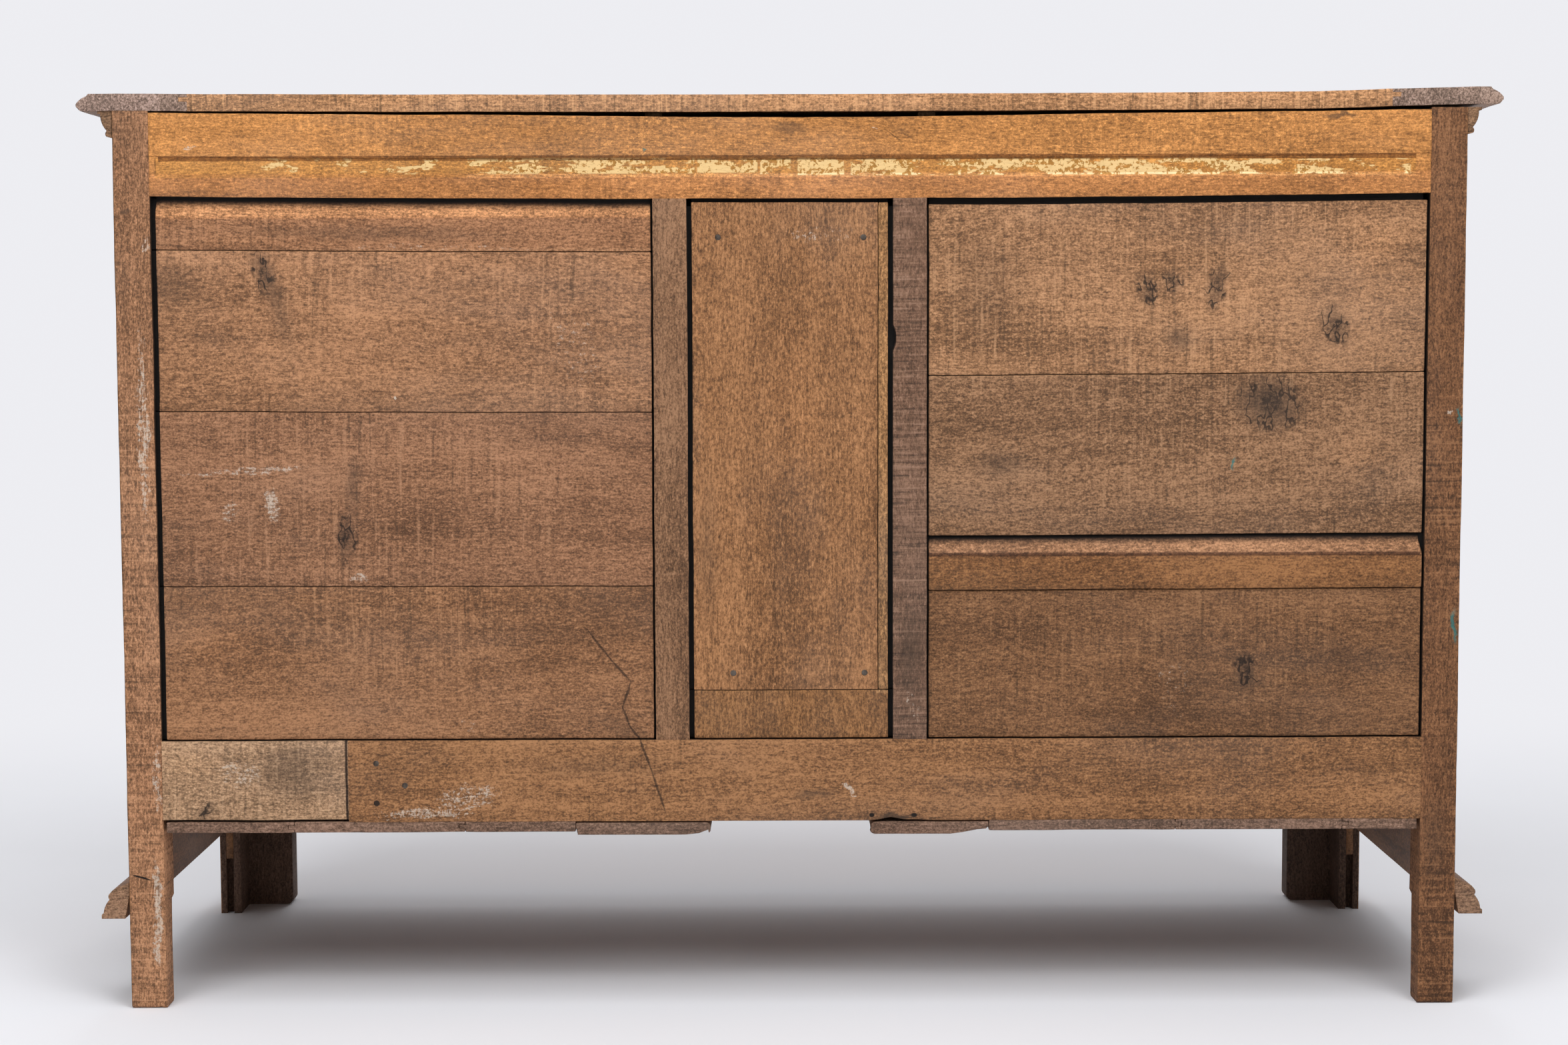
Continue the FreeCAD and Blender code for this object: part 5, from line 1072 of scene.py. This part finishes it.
def aged(name, bevel, spacing, wave, shape):
    """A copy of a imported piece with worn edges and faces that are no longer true."""
    work = worn_arrises(frame["nodes"][name].data, bevel)
    if spacing:
        for axis in range(3):
            cut_across(work, axis, spacing)
    untrue_faces(work, wave, shape)
    bmesh.ops.recalc_face_normals(work, faces=work.faces)
    mesh = bpy.data.meshes.new(name + "_aged")
    work.to_mesh(mesh)
    work.free()
    for face in mesh.polygons:
        face.use_smooth = True
    mesh.set_sharp_from_angle(angle=SMOOTH)
    mesh.materials.clear()
    mesh.materials.append(material_of(name))
    piece = bpy.data.objects.new(name + "_aged", mesh)
    bpy.context.scene.collection.objects.link(piece)
    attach(piece, BODIES[name])
    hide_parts(name)


noise.seed_set(NOISE_SEED)
for node_name in frame["nodes"]:
    aged(node_name, *how_aged(node_name), how_shaped(node_name))


# Floor, backdrop, light and camera

PALE = (0.85, 0.85, 0.885, 1.0)
PAPER = (0.90, 0.91, 0.955, 1.0)
PAPER_DARKER = (0.88, 0.89, 0.935, 1.0)
PAPER_MOTTLE = ((1.4, 1.4, 1.4), 3.0)
PAPER_EDGE = (0.3, 0.7)
PAPER_ROUGHNESS = 0.9
GLOW_FROM = 1.3
GLOW_FULL = 2.6
STAGE_HALF = 7.0
STAGE_BACK = -4.5
STAGE_TURN = 2.0
STAGE_TURN_STEPS = 12
STAGE_HIGH = 6.0


def make_paper():
    """Pale paper, which far from the sideboard is seen as even light."""
    shader = Shader("backdrop_paper")
    radius = shader.add("VectorMath", shader.point, operation="LENGTH").outputs[1]
    far = shader.step(radius, GLOW_FROM, GLOW_FULL)
    factor = shader.times(far, shader.add("LightPath").outputs["Is Camera Ray"])
    mottle = shader.noise(shader.point, *PAPER_MOTTLE)
    paper = shader.mix(shader.step(mottle, *PAPER_EDGE), PAPER, PAPER_DARKER)
    shader.put(shader.surface.inputs["Base Color"], paper)
    shader.surface.inputs["Roughness"].default_value = PAPER_ROUGHNESS
    glow = shader.add("Emission", PALE, 1.0)
    both = shader.add("MixShader", factor, shader.surface.outputs[0], glow.outputs[0])
    shader.put(shader.tree.nodes["Material Output"].inputs["Surface"], both.outputs[0])
    return shader.material


def make_stage():
    """A pale floor that curves up into a backdrop."""
    outline = [(STAGE_HALF, 0.0), (STAGE_BACK, 0.0)]
    for number in range(1, STAGE_TURN_STEPS + 1):
        angle = math.pi / 2 * number / STAGE_TURN_STEPS
        outline.append((STAGE_BACK - STAGE_TURN * math.sin(angle), STAGE_TURN * (1 - math.cos(angle))))
    outline.append((STAGE_BACK - STAGE_TURN, STAGE_HIGH))
    mesh = bpy.data.meshes.new("backdrop")
    points = [(side * STAGE_HALF, y, z) for y, z in outline for side in (-1, 1)]
    faces = [(2 * i, 2 * i + 1, 2 * i + 3, 2 * i + 2) for i in range(len(outline) - 1)]
    mesh.from_pydata(points, [], faces)
    mesh.materials.append(make_paper())
    backdrop = bpy.data.objects.new("backdrop", mesh)
    bpy.context.scene.collection.objects.link(backdrop)


AMBIENT = 0.40


def make_world():
    """Even white light, seen by the camera as the backdrop's own tone."""
    world = bpy.data.worlds.new("studio")
    world.use_nodes = True
    nodes = world.node_tree.nodes
    links = world.node_tree.links
    ambient = nodes["Background"]
    ambient.inputs[0].default_value = (1.0, 1.0, 1.0, 1.0)
    ambient.inputs[1].default_value = AMBIENT
    seen = nodes.new("ShaderNodeBackground")
    seen.inputs[0].default_value = PALE
    seen.inputs[1].default_value = 1.0
    path = nodes.new("ShaderNodeLightPath")
    both = nodes.new("ShaderNodeMixShader")
    links.new(path.outputs["Is Camera Ray"], both.inputs[0])
    links.new(ambient.outputs[0], both.inputs[1])
    links.new(seen.outputs[0], both.inputs[2])
    links.new(both.outputs[0], nodes["World Output"].inputs["Surface"])
    bpy.context.scene.world = world


# Name, place, size and power of each lamp
LAMPS = (
    ("key_left", (1.7, 2.9, 3.0), 1.6, 37.0),
    ("key_right", (-1.7, 2.9, 3.0), 1.6, 37.0),
    ("overhead", (0.0, 1.6, 3.6), 2.5, 58.0),
    ("front_fill", (0.0, -3.6, 2.6), 2.4, 55.0),
    ("low_fill", (0.0, -3.4, 0.45), 1.6, 7.0),
)
AIM = Vector((0, 0, 0.55))


def make_lamps():
    for name, place, size, power in LAMPS:
        light = bpy.data.lights.new(name, "AREA")
        light.size = size
        light.energy = power
        lamp = bpy.data.objects.new(name, light)
        lamp.location = place
        lamp.rotation_euler = (AIM - Vector(place)).to_track_quat("-Z", "Y").to_euler()
        bpy.context.scene.collection.objects.link(lamp)


def make_camera():
    data = bpy.data.cameras.new("photo_camera")
    data.lens = LENS
    data.sensor_width = SENSOR_WIDE
    camera = bpy.data.objects.new("photo_camera", data)
    columns = Matrix((CAMERA_RIGHT, -CAMERA_DOWN, -CAMERA_FORWARD)).transposed()
    camera.matrix_world = Matrix.Translation(CAMERA_AT) @ columns.to_4x4()
    bpy.context.scene.collection.objects.link(camera)
    bpy.context.scene.camera = camera


make_stage()
make_world()
make_lamps()
make_camera()
bpy.context.scene.view_settings.view_transform = "Standard"
